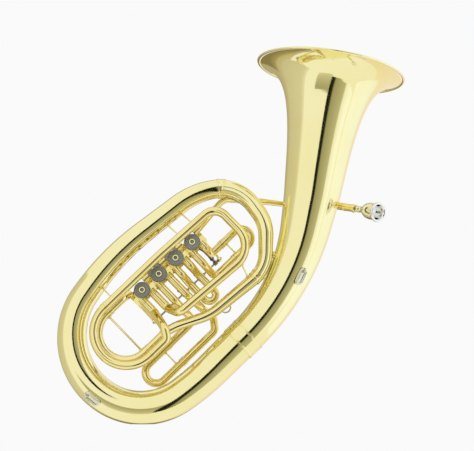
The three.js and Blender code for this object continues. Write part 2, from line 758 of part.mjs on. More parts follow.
function addTuningSlide(section) {
  const w = TUNING_W;
  const lead = solid(sleeve([
    [-6, NIPPLE_V, 0, 0], [-21, NIPPLE_V, 0, 8],
    [-38, TUNING_TOP_V, w, 8], [TUNING_JOINT_U, TUNING_TOP_V, w, 0],
  ], TUBE_RADIUS));
  const clear = disc(CASING_RADIUS + GAP, CASING_FRONT - 9, CASING_BACK + 9);
  piece(section, 'tuning_upper_sleeve', geometryOf(cut(lead, solid(clear))), goldBrass());
  const start = -25;
  const rings = (d) => (d < 7 || d > start - TUNING_JOINT_U - 5 ? 0.9 : 0);
  const path = bentPath([[start, TUNING_LOW_V, w, 0], [TUNING_JOINT_U, TUNING_LOW_V, w, 0]]);
  const edge = start - TUNING_JOINT_U - 5;
  const lower = sweep(
    marked(path, [6.8, 7.1, edge - 0.1, edge + 0.1]),
    (d) => TUBE_RADIUS + rings(d), TUBE_RADIUS - TUBE_WALL, TUBE_SIDES,
  );
  piece(section, 'tuning_lower_sleeve', lower, goldBrass());
  const far = TUNING_BOW_U - TUNING_BOW;
  const legs = 24;
  const ends = TUNING_JOINT_U - GAP - 0.1 + legs;
  const bow = slide([
    [ends, TUNING_TOP_V, w, 0], [far, TUNING_TOP_V, w, TUNING_BOW],
    [far, TUNING_LOW_V, w, TUNING_BOW], [ends, TUNING_LOW_V, w, 0],
  ], legs, TUBE_RADIUS, INNER_LEG);
  const stayU = -81;
  const inset = TUBE_RADIUS - 0.6;
  const low = [stayU, TUNING_TOP_V + inset, w];
  const stay = bar(low, [stayU, TUNING_LOW_V - inset, w], 2.2);
  const key = waterKeySeat();
  const body = joined(solid(bow), solid(stay), ...key.seat);
  piece(section, 'main_tuning_slide', geometryOf(body), goldBrass());
  piece(section, 'water_key', key.lever, nickelSilver());
}

// Water key on the lowest part of the tuning bow: nipple, posts, pin, lever.
function waterKeySeat() {
  const out = new THREE.Vector3(-Math.sin(VALVE_ANGLE), Math.cos(VALVE_ANGLE), 0);
  const run = new THREE.Vector3(out.y, -out.x, 0);
  const middle = new THREE.Vector3(TUNING_BOW_U, TUNING_TOP_V + TUNING_BOW, TUNING_W);
  const centre = middle.addScaledVector(out, TUNING_BOW);
  const at = (forward, sideways, w) => {
    const place = centre.clone().addScaledVector(run, forward).addScaledVector(out, sideways);
    return [place.x, place.y, TUNING_W + w];
  };
  const skin = TUBE_RADIUS - 0.5;
  const nipple = bar(at(0, 0, skin), at(0, 0, 10.5), 3);
  const axisAt = 14;
  const pinW = 13;
  const posts = [-1, 1].map((side) => {
    const foot = at(axisAt, side * 4.4 - 1.6, 5.6);
    return bar(foot, at(axisAt, side * 4.4 - 1.6, pinW + 1.6), 1.4, ROD_SIDES);
  });
  const pin = bar(at(axisAt, -6, pinW), at(axisAt, 2.8, pinW), 0.8, ROD_SIDES);
  const cup = bar(at(0, 0, 11), at(0, 0, 14.4), 4.2);
  const shaft = rod([
    [...at(0, 0, 13), 0], [...at(axisAt, -1.6, pinW), 20], [...at(32, -2, 15.5), 0],
  ], 1.3);
  const hub = bar(at(axisAt, -4, pinW), at(axisAt, 0.8, pinW), 2.8);
  const pad = bar(at(32, -2, 14.6), at(32, -2, 16.8), 4.6);
  const hole = bar(at(axisAt, -7, pinW), at(axisAt, 4, pinW), 1.3);
  const lever = cut(joined(...[cup, shaft, hub, pad].map(solid)), solid(hole));
  return { seat: [nipple, ...posts, pin].map(solid), lever: geometryOf(lever) };
}

function addValveSlides(section) {
  const start = LEG_STUB + GAP;
  const side = LEG_OFFSET;
  const loops = [
    {
      number: 1,
      joint: SLIDE1_JOINT_U,
      bow: SLIDE1_BOW_U,
      legs: 19,
      stay: 184,
      sleeves: [
        [[side, start, 0, 0], [side, 27, 0, 6], [side, SLIDE1_TOP_V, SLIDE1_W, 9]],
        [[-side, start, 0, 0], [-side, 44, 0, 14], [-side, SLIDE1_LOW_V, SLIDE1_W, 12]],
      ],
    },
    {
      number: 3,
      joint: SLIDE3_JOINT_U,
      bow: SLIDE3_BOW_U,
      legs: 36,
      stay: -50,
      sleeves: [
        [[-side, start, 0, 0], [-side, 55, 0, 14], [-side, SLIDE3_TOP_V, SLIDE3_W, 14]],
        [
          [side, start, 0, 0], [side, 66, 0, 16], [side + 5, 112, SLIDE3_W, 10],
          [side + 8, 130, SLIDE3_W, 14], [side - 8, SLIDE3_LOW_V, SLIDE3_W, 14],
        ],
      ],
    },
  ];
  for (const loop of loops) {
    const u = valveU(loop.number);
    const ends = loop.sleeves.map((corners, i) => {
      const local = corners.map(([x, ...rest]) => [x + u, ...rest]);
      const last = local[local.length - 1];
      const mouth = [loop.joint, last[1], last[2], 0];
      const name = `valve_${loop.number}_sleeve_${'ab'[i]}`;
      piece(section, name, sleeve([...local, mouth], TUBE_RADIUS), yellowBrass());
      return mouth;
    });
    const [top, low] = ends;
    const way = Math.sign(loop.bow - loop.joint);
    const bend = (low[1] - top[1]) / 2;
    const far = loop.bow + way * bend;
    const inside = loop.joint + way * (GAP + 0.1 - loop.legs);
    const bow = slide([
      [inside, top[1], top[2], 0], [far, top[1], top[2], bend],
      [far, low[1], low[2], bend], [inside, low[1], low[2], 0],
    ], loop.legs, TUBE_RADIUS, INNER_LEG);
    const edge = TUBE_RADIUS - 0.6;
    const from = [loop.stay, top[1] + edge, top[2]];
    const stay = bar(from, [loop.stay, low[1] - edge, low[2]], BRACE_RADIUS, ROD_SIDES);
    const body = joined(solid(bow), solid(stay));
    piece(section, `valve_${loop.number}_slide`, geometryOf(body), yellowBrass());
  }
  const u = valveU(2);
  const legs = 19;
  const top = SLIDE2_JOINT_V + GAP + 0.1 - legs;
  const end = SLIDE2_BOW_V + LEG_OFFSET;
  piece(section, 'valve_2_slide', slide([
    [u - LEG_OFFSET, top, SLIDE2_W, 0], [u - LEG_OFFSET, end, SLIDE2_W, LEG_OFFSET],
    [u + LEG_OFFSET, end, SLIDE2_W, LEG_OFFSET], [u + LEG_OFFSET, top, SLIDE2_W, 0],
  ], legs, TUBE_RADIUS, INNER_LEG), yellowBrass());
}

// --------------------------------------------- leadpipe, receiver, mouthpiece

const mouthwards = RIM_CENTRE.clone().sub(RECEIVER_START).normalize();

function onReceiver(distance) {
  return RECEIVER_START.clone().addScaledVector(mouthwards, distance).toArray();
}

// Leadpipe corners from the first valve to the receiver, and its outside radius.
const LEADPIPE = [
  [...new THREE.Vector3(3 * VALVE_PITCH + 6, NIPPLE_V, 0).applyMatrix4(FROM_SECTION), 0],
  [-62, 0, 386.5, 20], [-14, 18, 447, 30], [62, 44, 447, 60], [125, 71, 444, 50],
  [...onReceiver(-14), 30], [...onReceiver(14), 0],
];
const LEADPIPE_LENGTH = distances(bentPath(LEADPIPE)).at(-1);

function leadpipeRadius(distance) {
  return 7.4 - (3 * distance) / LEADPIPE_LENGTH;
}

function addLeadpipe(parent) {
  const pipe = solid(tube(LEADPIPE, leadpipeRadius, TUBE_WALL));
  const clear = disc(CASING_RADIUS + GAP, CASING_FRONT - 9, CASING_BACK + 9);
  clear.translate(3 * VALVE_PITCH, 0, 0).applyMatrix4(FROM_SECTION);
  piece(parent, 'leadpipe', geometryOf(cut(pipe, solid(clear))), goldBrass());
  const receiver = turned([
    [5.1, 0], [6.2, 0], [6.2, 12], [7.5, 18], [7.5, RECEIVER_LENGTH - 8],
    [8.3, RECEIVER_LENGTH - 7], [8.3, RECEIVER_LENGTH], [6.1, RECEIVER_LENGTH],
    [6.1, 30], [5.1, 26],
  ], NARROW_SIDES);
  const socket = piece(parent, 'mouthpiece_receiver', receiver, goldBrass());
  const up = new THREE.Vector3(0, 0, 1);
  socket.position.copy(RECEIVER_START);
  socket.quaternion.setFromUnitVectors(up, mouthwards);
  const long = MOUTHPIECE_LENGTH;
  const cup = turned([
    [3.6, 0], [5.3, 0], [5.6, 24], [6.4, 30], [6, 36], [8.2, 42], [14.5, 52], [16.6, 62],
    [16.8, long - 8], [20, long - 5], [19.6, long], [16, long],
    [12.8, long - 5], [9.2, long - 24], [3.9, long - 33],
  ], BOW_SIDES);
  const mouthpiece = piece(parent, 'mouthpiece', cup, silverPlate());
  mouthpiece.position.copy(RIM_CENTRE).addScaledVector(mouthwards, -long);
  mouthpiece.quaternion.setFromUnitVectors(up, mouthwards);
}

// -------------------------------------------------------- rings and fittings

// Strap plate with its staple, and the loose ring that hangs in it. In their
// own frame y runs along the tube and z stands off its skin.
function addStrapRing(parent, name, distance, turn, hang) {
  const { centre, along, side, towardsPlayer } = mainFrame(distance);
  const off = towardsPlayer.clone().applyAxisAngle(along, turn);
  const up = along.clone().multiplyScalar(hang);
  const group = new THREE.Group();
  group.quaternion.setFromRotationMatrix(
    new THREE.Matrix4().makeBasis(up.clone().cross(off), up, off),
  );
  group.position.copy(centre).addScaledVector(off, mainRadius(distance - 18) + 3 * GAP);
  parent.add(group);
  const plate = block([15, 36, 2.4], [0, 0, 1.2]);
  const staple = rod([
    [0, STRAP_BAR - 3.9, 1, 0], [0, STRAP_BAR - 3.9, STRAP_AXIS + 3.9, 3.6],
    [0, STRAP_BAR + 3.9, STRAP_AXIS + 3.9, 3.6], [0, STRAP_BAR + 3.9, 1, 0],
  ], 1.4);
  const plateBody = geometryOf(joined(solid(plate), solid(staple)));
  piece(group, `${name}_plate`, plateBody, nickelSilver());
  const half = 6.6;
  const low = STRAP_BAR - 28;
  const ringPath = bentPath([
    [0, STRAP_BAR, STRAP_AXIS, 0], [half, STRAP_BAR, STRAP_AXIS, 4], [half, low, STRAP_AXIS, 6],
    [-half, low, STRAP_AXIS, 6], [-half, STRAP_BAR, STRAP_AXIS, 4], [0, STRAP_BAR, STRAP_AXIS, 0],
  ]);
  piece(group, `${name}_ring`, loopOf(ringPath.slice(0, -1), STRAP_WIRE, ROD_SIDES), nickelSilver());
}

// Closed loop of round wire.
function loopOf(points, wire, sides) {
  const count = points.length;
  const places = [];
  const flat = new THREE.Vector3(0, 0, 1);
  points.forEach((point, i) => {
    const before = points[(i + count - 1) % count];
    const after = points[(i + 1) % count];
    const along = after.clone().sub(before).normalize();
    const across = along.clone().cross(flat);
    for (let k = 0; k < sides; k += 1) {
      const angle = (k * 2 * Math.PI) / sides;
      const place = point.clone().addScaledVector(flat, wire * Math.cos(angle));
      place.addScaledVector(across, wire * Math.sin(angle));
      places.push(place.x, place.y, place.z);
    }
  });
  const faces = [];
  const at = (i, k) => (i % count) * sides + (k % sides);
  for (let i = 0; i < count; i += 1) {
    for (let k = 0; k < sides; k += 1) {
      faces.push(at(i, k), at(i, k + 1), at(i + 1, k + 1));
      faces.push(at(i, k), at(i + 1, k + 1), at(i + 1, k));
    }
  }
  const geometry = new THREE.BufferGeometry();
  geometry.setAttribute('position', new THREE.Float32BufferAttribute(places, 3));
  geometry.setIndex(faces);
  return geometry;
}

// Short stay between the bell and the right side of the oval.
function bellBrace() {
  const oval = pointAt(mainPath, mainAlong, 1640);
  const bell = pointAt(mainPath, mainAlong, 385);
  const stay = bar(oval.toArray(), bell.toArray(), 3);
  const across = bell.clone().sub(oval).normalize();
  const foot = (centre, height) => {
    const top = centre.clone().addScaledVector(across, height);
    return bar(centre.toArray(), top.toArray(), 7, 12);
  };
  const left = foot(oval, mainRadius(1640) + 2.5);
  const right = foot(bell, -mainRadius(385) - 2.5);
  const body = joined(solid(stay), solid(left), solid(right));
  return geometryOf(cut(body, ...['upper_bow', 'bell'].map((name) => solid(mainKeepOut(name)))));
}

// Stay that holds the leadpipe off the back of the bell.
function leadpipeBrace() {
  const bell = pointAt(mainPath, mainAlong, 262);
  const pipe = pointAt(bentPath(LEADPIPE), distances(bentPath(LEADPIPE)), 262);
  const across = pipe.clone().sub(bell).normalize();
  const foot = bell.clone().addScaledVector(across, mainRadius(262) + 3);
  const body = joined(
    solid(bar(bell.toArray(), pipe.toArray(), 3)),
    solid(bar(bell.toArray(), foot.toArray(), 8, 12)),
  );
  const skin = (d) => leadpipeRadius(d) + GAP;
  const grown = sweep(marked(bentPath(LEADPIPE)), skin, undefined, TUBE_SIDES);
  return geometryOf(cut(body, solid(mainKeepOut('bell')), solid(grown)));
}

// Wire ring for the thumb, on a stalk that stands on the branch.
function thumbRing() {
  const [x, y, z] = THUMB_RING_AT;
  const ring = new THREE.TorusGeometry(THUMB_RING_RADIUS, 1.6, 6, 16);
  ring.rotateX(Math.PI / 2).translate(x, y, z);
  const top = z + THUMB_RING_RADIUS;
  const stalk = bar([x, y - 10, top], [x, y, top], 2.2);
  const body = joined(solid(ring), solid(stalk));
  return geometryOf(cut(body, solid(mainKeepOut('branch'))));
}

function addFittings(parent) {
  piece(parent, 'bell_brace', bellBrace(), yellowBrass());
  piece(parent, 'leadpipe_brace', leadpipeBrace(), yellowBrass());
  piece(parent, 'thumb_ring', thumbRing(), nickelSilver());
  addStrapRing(parent, 'bell_strap', 418, -0.5, -1);
  addStrapRing(parent, 'bow_strap', 905, -0.5, 1);
}

// --------------------------------------------------------------------- build

function buildTuba() {
  const tuba = new THREE.Group();
  tuba.position.set(...PLACE);
  addMainTube(tuba);
  const section = valveGroup(tuba);
  addValves(section);
  addFrontLoop(section);
  addTuningSlide(section);
  addValveSlides(section);
  addLeadpipe(tuba);
  addFittings(tuba);
  return tuba;
}

export default buildTuba();
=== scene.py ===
# %% [markdown]
# # An oval baritone tuba in lacquered brass
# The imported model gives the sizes, the joints and the plain solids. This lesson gives each
# piece its smooth drawn-brass surface, in metres and in the same frame. It starts by
# loading the frame and keeping its box, which the finished surfaces must stay inside.

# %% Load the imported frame
import math

import bmesh
import bpy
import numpy as np
from mathutils import Matrix, Vector


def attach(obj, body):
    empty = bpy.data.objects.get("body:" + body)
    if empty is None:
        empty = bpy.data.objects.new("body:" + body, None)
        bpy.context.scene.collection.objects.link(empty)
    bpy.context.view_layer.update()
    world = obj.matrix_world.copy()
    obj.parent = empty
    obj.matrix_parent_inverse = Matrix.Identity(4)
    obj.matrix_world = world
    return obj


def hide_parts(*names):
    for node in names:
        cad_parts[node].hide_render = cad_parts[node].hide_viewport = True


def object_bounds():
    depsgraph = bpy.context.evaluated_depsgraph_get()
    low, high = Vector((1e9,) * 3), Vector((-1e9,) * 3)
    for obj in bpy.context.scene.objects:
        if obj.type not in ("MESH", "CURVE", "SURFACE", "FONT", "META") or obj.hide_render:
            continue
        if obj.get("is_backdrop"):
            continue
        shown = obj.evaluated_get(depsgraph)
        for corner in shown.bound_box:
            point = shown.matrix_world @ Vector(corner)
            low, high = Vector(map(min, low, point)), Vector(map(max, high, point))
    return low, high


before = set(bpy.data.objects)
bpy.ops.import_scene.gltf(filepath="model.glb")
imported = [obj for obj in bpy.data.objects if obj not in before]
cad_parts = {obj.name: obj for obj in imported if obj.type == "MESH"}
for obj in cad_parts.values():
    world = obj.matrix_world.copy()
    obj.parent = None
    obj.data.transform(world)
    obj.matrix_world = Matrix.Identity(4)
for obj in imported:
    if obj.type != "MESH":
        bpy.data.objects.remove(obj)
CAD_LOW, CAD_HIGH = [list(corner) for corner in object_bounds()]
print("frame:", len(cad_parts), "nodes, box", np.round(CAD_LOW, 4), np.round(CAD_HIGH, 4))

# %% [markdown]
# ## Camera and stage
# The player's side faces -Y, and the eye is a little low, looking up into the curve of the
# bell. A long lens from 2.8 m keeps the tubes parallel. Polished brass shows only what
# stands round it, so the stage is the real paint: a white room, and beside the lens one tall
# dark card whose left edge draws the black line that runs along every tube. The dimmer cards
# to the left and behind give the edges of the tubes their outline, and the right side is
# lit brighter. The cards show only in reflections, so the background stays plain.

# %% Camera
DISTANCE = 2.8
RISE = math.radians(9.5)
AIM = Vector((0.0067, 0.0, 0.3859))
FOCAL_IN_WIDTHS = 3.0139

look = Vector((0.0, math.cos(RISE), math.sin(RISE)))
camera_data = bpy.data.cameras.new("camera")
camera_data.sensor_width = 36.0
camera_data.lens = 36.0 * FOCAL_IN_WIDTHS
camera = bpy.data.objects.new("camera", camera_data)
camera.location = AIM - look * DISTANCE
camera.rotation_euler = look.to_track_quat("-Z", "Y").to_euler()
bpy.context.scene.collection.objects.link(camera)
scene = bpy.context.scene
scene.camera = camera
scene.view_settings.view_transform = "Standard"
scene.view_settings.look = "None"
print("camera at", np.round(camera.location, 3), "lens", round(camera_data.lens, 1))


# %% Room and cards
def node_material(name):
    material = bpy.data.materials.new(name)
    material.use_nodes = True
    tree = material.node_tree
    tree.nodes.clear()
    return material, tree, tree.nodes.new("ShaderNodeOutputMaterial")


def sheet(name, centre, facing, size):
    mesh = bpy.data.meshes.new(name)
    x, z = size[0] / 2, size[1] / 2
    mesh.from_pydata([(-x, -z, 0), (x, -z, 0), (x, z, 0), (-x, z, 0)], [], [(0, 1, 2, 3)])
    uv = mesh.uv_layers.new(name="across")
    for loop, place in zip(uv.data, ((0, 0), (1, 0), (1, 1), (0, 1))):
        loop.uv = place
    obj = bpy.data.objects.new(name, mesh)
    obj.location = centre
    obj.rotation_euler = facing
    bpy.context.scene.collection.objects.link(obj)
    obj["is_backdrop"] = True
    return obj


def glow(name, warm, stops):
    """An emission that changes across the card, from (place, strength) pairs."""
    material, tree, out = node_material(name)
    coords = tree.nodes.new("ShaderNodeUVMap")
    coords.uv_map = "across"
    split = tree.nodes.new("ShaderNodeSeparateXYZ")
    ramp = tree.nodes.new("ShaderNodeValToRGB")
    emit = tree.nodes.new("ShaderNodeEmission")
    elements = ramp.color_ramp.elements
    while len(elements) < len(stops):
        elements.new(0.5)
    for element, (place, level) in zip(elements, stops):
        element.position = place
        blue = min(1.0, 0.5 + 0.5 * level) * (1 - 0.55 * warm)
        element.color = (level, level * (0.97 - 0.2 * warm), level * blue, 1)
    tree.links.new(coords.outputs[0], split.inputs[0])
    tree.links.new(split.outputs[0], ramp.inputs[0])
    tree.links.new(ramp.outputs[0], emit.inputs["Color"])
    tree.links.new(emit.outputs[0], out.inputs["Surface"])
    return material


ROOM = 0.955
world = bpy.data.worlds.new("white_room")
world.use_nodes = True
world.node_tree.nodes["Background"].inputs["Color"].default_value = (ROOM, ROOM, ROOM, 1)
scene.world = world

UPRIGHT = (math.pi / 2, 0, 0)
HANGING = (math.pi / 2, math.pi / 2, 0)
SIDEWAYS = (math.pi / 2, 0, math.pi / 2)
CARD_Y = -3.1
# Each card: name, way it faces, centre, size, warmth, and its brightness from edge to edge.
cards = [
    ("dark_card", UPRIGHT, (1.47, CARD_Y, -0.5), (3.0, 4.4), 0.0,
     [(0, 0.01), (0.17, 0.015), (0.24, 0.36), (0.6, 0.46), (0.94, 0.54), (1, 0.86)]),
    ("low_card", HANGING, (-1.24, CARD_Y + 0.05, -1.75), (2.6, 2.4), 0.1,
     [(0, 0.62), (0.06, 0.4), (0.25, 0.48), (0.7, 0.62), (1, 0.7)]),
    ("left_card", SIDEWAYS, (-3.4, 1.4, 0.0), (5.6, 6.0), 0.1,
     [(0, 0.86), (0.12, 0.7), (0.6, 0.64), (1, 0.6)]),
    ("back_card", UPRIGHT, (0.0, 3.4, 0.3), (11.0, 9.0), 0.35,
     [(0, 0.75), (0.4, 0.46), (0.49, 0.46), (0.54, 0.9), (1, 1.0)]),
    ("back_shade", UPRIGHT, (-0.5, 2.4, -0.9), (2.0, 2.6), 0.7,
     [(0, 0.45), (0.3, 0.26), (0.75, 0.26), (1, 0.5)]),
    ("right_light", UPRIGHT, (4.4, CARD_Y + 0.6, 0.4), (3.2, 6.0), -0.35,
     [(0, 0.98), (0.4, 1.05), (1, 1.1)]),
    ("right_wall", SIDEWAYS, (3.6, 1.6, 0.4), (5.6, 6.0), -0.35,
     [(0, 1.05), (0.5, 1.02), (1, 0.9)]),
]
for name, facing, centre, size, warm, stops in cards:
    card = sheet(name, centre, facing, size)
    card.data.materials.append(glow(name, warm, stops))
    card.visible_camera = False
    card.visible_shadow = False
print("stage:", [card[0] for card in cards])

# %% [markdown]
# ## Tools for drawn tube
# A tube is described the way a bender would: straight runs between corners, each corner with
# its bend radius. `bend` turns that into points, and `sweep` draws rings along them with
# a radius that may change along the way, so ferrule beads and tapers are only numbers.

# %% Frames of reference
MM = 0.001
SHIFT = np.array([-5.3, 0.0, -5.1])
ROW_ORIGIN = np.array([-171.3, 0.0, 261.2])
ROW_ANGLE = math.radians(44.26)
U = np.array([math.cos(ROW_ANGLE), 0, math.sin(ROW_ANGLE)])
V = np.array([math.sin(ROW_ANGLE), 0, -math.cos(ROW_ANGLE)])
W = np.array([0.0, 1.0, 0.0])


def horn(point):
    return (np.asarray(point, float) + SHIFT) * MM


def row(point):
    """A point of the valve row: u along the row, v down the legs, w away from the player."""
    u, v, w = point
    return horn(ROW_ORIGIN + u * U + v * V + w * W)


# %% Bending and sweeping
def bend(corners, place=horn, step=4.0):
    spots = [place(c[:3]) for c in corners]
    points = [spots[0]]
    for i in range(1, len(corners) - 1):
        here = spots[i]
        back = spots[i - 1] - here
        ahead = spots[i + 1] - here
        back /= np.linalg.norm(back)
        ahead /= np.linalg.norm(ahead)
        turn = math.pi - math.acos(np.clip(back @ ahead, -1, 1))
        radius = corners[i][3] * MM
        middle = (back + ahead) / np.linalg.norm(back + ahead)
        centre = here + middle * radius / math.cos(turn / 2)
        first = here + back * radius * math.tan(turn / 2) - centre
        last = here + ahead * radius * math.tan(turn / 2) - centre
        steps = max(2, math.ceil(math.degrees(turn) / step))
        for k in range(steps + 1):
            a, b = math.sin((1 - k / steps) * turn), math.sin(k / steps * turn)
            points.append(centre + (first * a + last * b) / math.sin(turn))
    points.append(spots[-1])
    kept = [points[0]]
    for p in points[1:]:
        if np.linalg.norm(p - kept[-1]) > 2e-5:
            kept.append(p)
    return np.array(kept)


def run_lengths(points):
    return np.concatenate([[0], np.cumsum(np.linalg.norm(np.diff(points, axis=0), axis=1))])


def at_stations(points, stations):
    along = run_lengths(points)
    return np.stack([np.interp(stations, along, points[:, k]) for k in range(3)], 1)


def sweep(points, outer, inner=None, sides=32):
    """Vertices and faces of a tube. inner=None closes both ends flat."""
    tangents = np.gradient(points, axis=0)
    tangents /= np.linalg.norm(tangents, axis=1)[:, None]
    start = np.array([0, 0, 1.0]) if abs(tangents[0][2]) < 0.9 else np.array([1.0, 0, 0])
    sides_dir = []
    for t in tangents:
        start = start - t * (start @ t)
        start /= np.linalg.norm(start)
        sides_dir.append(start)
    normal = np.array(sides_dir)
    across = np.cross(tangents, normal)
    angle = np.arange(sides) * 2 * math.pi / sides
    ring = (np.cos(angle)[None, :, None] * normal[:, None] +
            np.sin(angle)[None, :, None] * across[:, None])
    outer = np.broadcast_to(outer, len(points))
    shells = [points[:, None] + ring * outer[:, None, None]]
    if inner is not None:
        inner = np.broadcast_to(inner, len(points))
        shells.append(points[:, None] + ring * inner[:, None, None])
    count = len(points)
    faces = []

    def at(shell, i, k):
        return (shell * count + i) * sides + k % sides

    for k in range(sides):
        for i in range(count - 1):
            faces.append((at(0, i, k), at(0, i, k + 1), at(0, i + 1, k + 1), at(0, i + 1, k)))
            if inner is not None:
                faces.append((at(1, i, k), at(1, i + 1, k), at(1, i + 1, k + 1), at(1, i, k + 1)))
        if inner is not None:
            end = count - 1
            faces.append((at(0, 0, k + 1), at(0, 0, k), at(1, 0, k), at(1, 0, k + 1)))
            faces.append((at(0, end, k), at(0, end, k + 1), at(1, end, k + 1), at(1, end, k)))
    if inner is None:
        faces.append(tuple(at(0, 0, k) for k in reversed(range(sides))))
        faces.append(tuple(at(0, count - 1, k) for k in range(sides)))
    return np.concatenate(shells).reshape(-1, 3), faces


def turned(outline, base, axis, sides=64):
    """A lathe piece: (radius, height) pairs in mm round an axis through a base point."""
    turn = Vector((0, 0, 1)).rotation_difference(Vector(axis)).to_matrix()
    turn = np.array(turn)
    angle = np.arange(sides) * 2 * math.pi / sides
    ring = np.stack([np.cos(angle), np.sin(angle), 0 * angle], 1)
    points = [ring * r * MM + [0, 0, z * MM] for r, z in outline]
    closed = outline[0] == outline[-1]
    if closed:
        points = points[:-1]
    count = len(points)
    faces = []
    for i in range(count if closed else count - 1):
        for k in range(sides):
            a, b = i * sides, ((i + 1) % count) * sides
            faces.append((a + k, a + (k + 1) % sides, b + (k + 1) % sides, b + k))
    return np.concatenate(points) @ turn.T + base, faces


def rounded(outline, radius=0.5, steps=3):
    """Rounds each corner of an outline, as a turner would break the edges."""
    pts = [np.array(p, float) for p in outline]
    closed = outline[0] == outline[-1]
    if closed:
        pts = pts[:-1]
    out = []
    for i, p in enumerate(pts):
        if not closed and i in (0, len(pts) - 1):
            out.append(tuple(p))
            continue
        a, b = pts[i - 1] - p, pts[(i + 1) % len(pts)] - p
        la, lb = np.linalg.norm(a), np.linalg.norm(b)
        r = min(radius, la * 0.45, lb * 0.45)
        for k in range(steps + 1):
            t = k / steps
            q = p + a / la * r * (1 - t) ** 2 + b / lb * r * t ** 2
            out.append(tuple(q))
    if closed:
        out.append(out[0])
    return out


# %% Making an object from parts
def build(name, parts, smooth=0.7):
    verts, faces, base = [], [], 0
    for v, f in parts:
        verts.append(np.asarray(v))
        faces += [tuple(i + base for i in face) for face in f]
        base += len(v)
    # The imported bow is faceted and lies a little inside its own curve. The smooth bow would
    # pass the box by up to 1.6 mm at the bottom and the left, so it is held back to it here.
    verts = np.clip(np.concatenate(verts), CAD_LOW, CAD_HIGH)
    mesh = bpy.data.meshes.new(name)
    mesh.from_pydata(verts.tolist(), [], faces)
    bm = bmesh.new()
    bm.from_mesh(mesh)
    bmesh.ops.remove_doubles(bm, verts=bm.verts, dist=1e-6)
    bmesh.ops.recalc_face_normals(bm, faces=bm.faces)
    bm.to_mesh(mesh)
    bm.free()
    mesh.shade_smooth()
    mesh.set_sharp_from_angle(angle=smooth)
    obj = bpy.data.objects.new(name, mesh)
    scene.collection.objects.link(obj)
    return obj


made = {}


def dress(obj, body, material, nodes=()):
    obj.data.materials.clear()
    obj.data.materials.append(material)
    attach(obj, body)
    if nodes:
        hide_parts(*nodes)
    made[obj.name] = len(obj.data.vertices)
    return obj


# %% [markdown]
# ## Metals
# Each metal is one recipe with its own numbers (bright and deep colour, roughness, rubbing
# marks, waviness, lacquer, grain of the polish): a base colour that wanders a little, a
# roughness broken up by rubbing marks, fine polishing lines in the bump, a slow waviness
# left by hand burnishing, and, on the brass, a thin clear lacquer coat.

# %% Metal recipe
def metal(name, colour, deep, rough, marks, wave, coat, grain):
    material, tree, out = node_material(name)
    nodes, links = tree.nodes, tree.links
    coords = nodes.new("ShaderNodeTexCoord")
    shade = nodes.new("ShaderNodeBsdfPrincipled")
    shade.inputs["Metallic"].default_value = 1.0
    shade.inputs["Coat Weight"].default_value = coat
    shade.inputs["Coat Roughness"].default_value = 0.03

    cloud = nodes.new("ShaderNodeTexNoise")
    cloud.inputs["Scale"].default_value = 9.0
    cloud.inputs["Detail"].default_value = 4.0
    links.new(coords.outputs["Object"], cloud.inputs["Vector"])
    tint = nodes.new("ShaderNodeValToRGB")
    tint.color_ramp.elements[0].position = 0.35
    tint.color_ramp.elements[0].color = (*deep, 1)
    tint.color_ramp.elements[1].position = 0.68
    tint.color_ramp.elements[1].color = (*colour, 1)
    links.new(cloud.outputs["Fac"], tint.inputs["Fac"])
    links.new(tint.outputs["Color"], shade.inputs["Base Color"])

    stretch = nodes.new("ShaderNodeMapping")
    stretch.inputs["Scale"].default_value = (1.0, 1.0, 7.0)
    stretch.inputs["Rotation"].default_value = (0.3, 0.2, 0.1)
    links.new(coords.outputs["Object"], stretch.inputs["Vector"])
    rubs = nodes.new("ShaderNodeTexNoise")
    rubs.inputs["Scale"].default_value = grain
    rubs.inputs["Detail"].default_value = 6.0
    links.new(stretch.outputs["Vector"], rubs.inputs["Vector"])
    spread = nodes.new("ShaderNodeMapRange")
    spread.inputs["From Min"].default_value = 0.35
    spread.inputs["From Max"].default_value = 0.75
    spread.inputs["To Min"].default_value = rough
    spread.inputs["To Max"].default_value = rough + marks
    links.new(rubs.outputs["Fac"], spread.inputs["Value"])
    links.new(spread.outputs["Result"], shade.inputs["Roughness"])

    slow = nodes.new("ShaderNodeTexNoise")
    slow.inputs["Scale"].default_value = 26.0
    slow.inputs["Detail"].default_value = 1.0
    links.new(coords.outputs["Object"], slow.inputs["Vector"])
    burnish = nodes.new("ShaderNodeBump")
    burnish.inputs["Strength"].default_value = wave
    burnish.inputs["Distance"].default_value = 0.0006
    links.new(slow.outputs["Fac"], burnish.inputs["Height"])
    lines = nodes.new("ShaderNodeBump")
    lines.inputs["Strength"].default_value = wave * 0.5
    lines.inputs["Distance"].default_value = 0.00005
    links.new(rubs.outputs["Fac"], lines.inputs["Height"])
    links.new(burnish.outputs["Normal"], lines.inputs["Normal"])
    links.new(lines.outputs["Normal"], shade.inputs["Normal"])
    links.new(shade.outputs["BSDF"], out.inputs["Surface"])
    return material


BRASS = metal("lacquered_brass", (0.94, 0.88, 0.48), (0.92, 0.84, 0.41),
              0.06, 0.05, 0.05, 0.35, 260)
TUBING = metal("drawn_tubing", (0.93, 0.82, 0.38), (0.89, 0.74, 0.28),
               0.06, 0.05, 0.05, 0.35, 260)
GOLD = metal("gold_brass", (0.93, 0.83, 0.41), (0.90, 0.77, 0.34), 0.06, 0.05, 0.05, 0.35, 260)
NICKEL = metal("nickel_silver", (0.80, 0.80, 0.74), (0.70, 0.69, 0.62),
               0.12, 0.12, 0.06, 0.0, 420)
MATT = metal("matt_nickel", (0.35, 0.355, 0.31), (0.26, 0.27, 0.23), 0.42, 0.2, 0.2, 0.0, 700)
SILVER = metal("silver_plate", (0.90, 0.90, 0.86), (0.84, 0.83, 0.78),
               0.05, 0.06, 0.04, 0.0, 420)
STEEL = metal("ground_steel", (0.50, 0.50, 0.49), (0.40, 0.40, 0.39), 0.25, 0.2, 0.1, 0.0, 900)
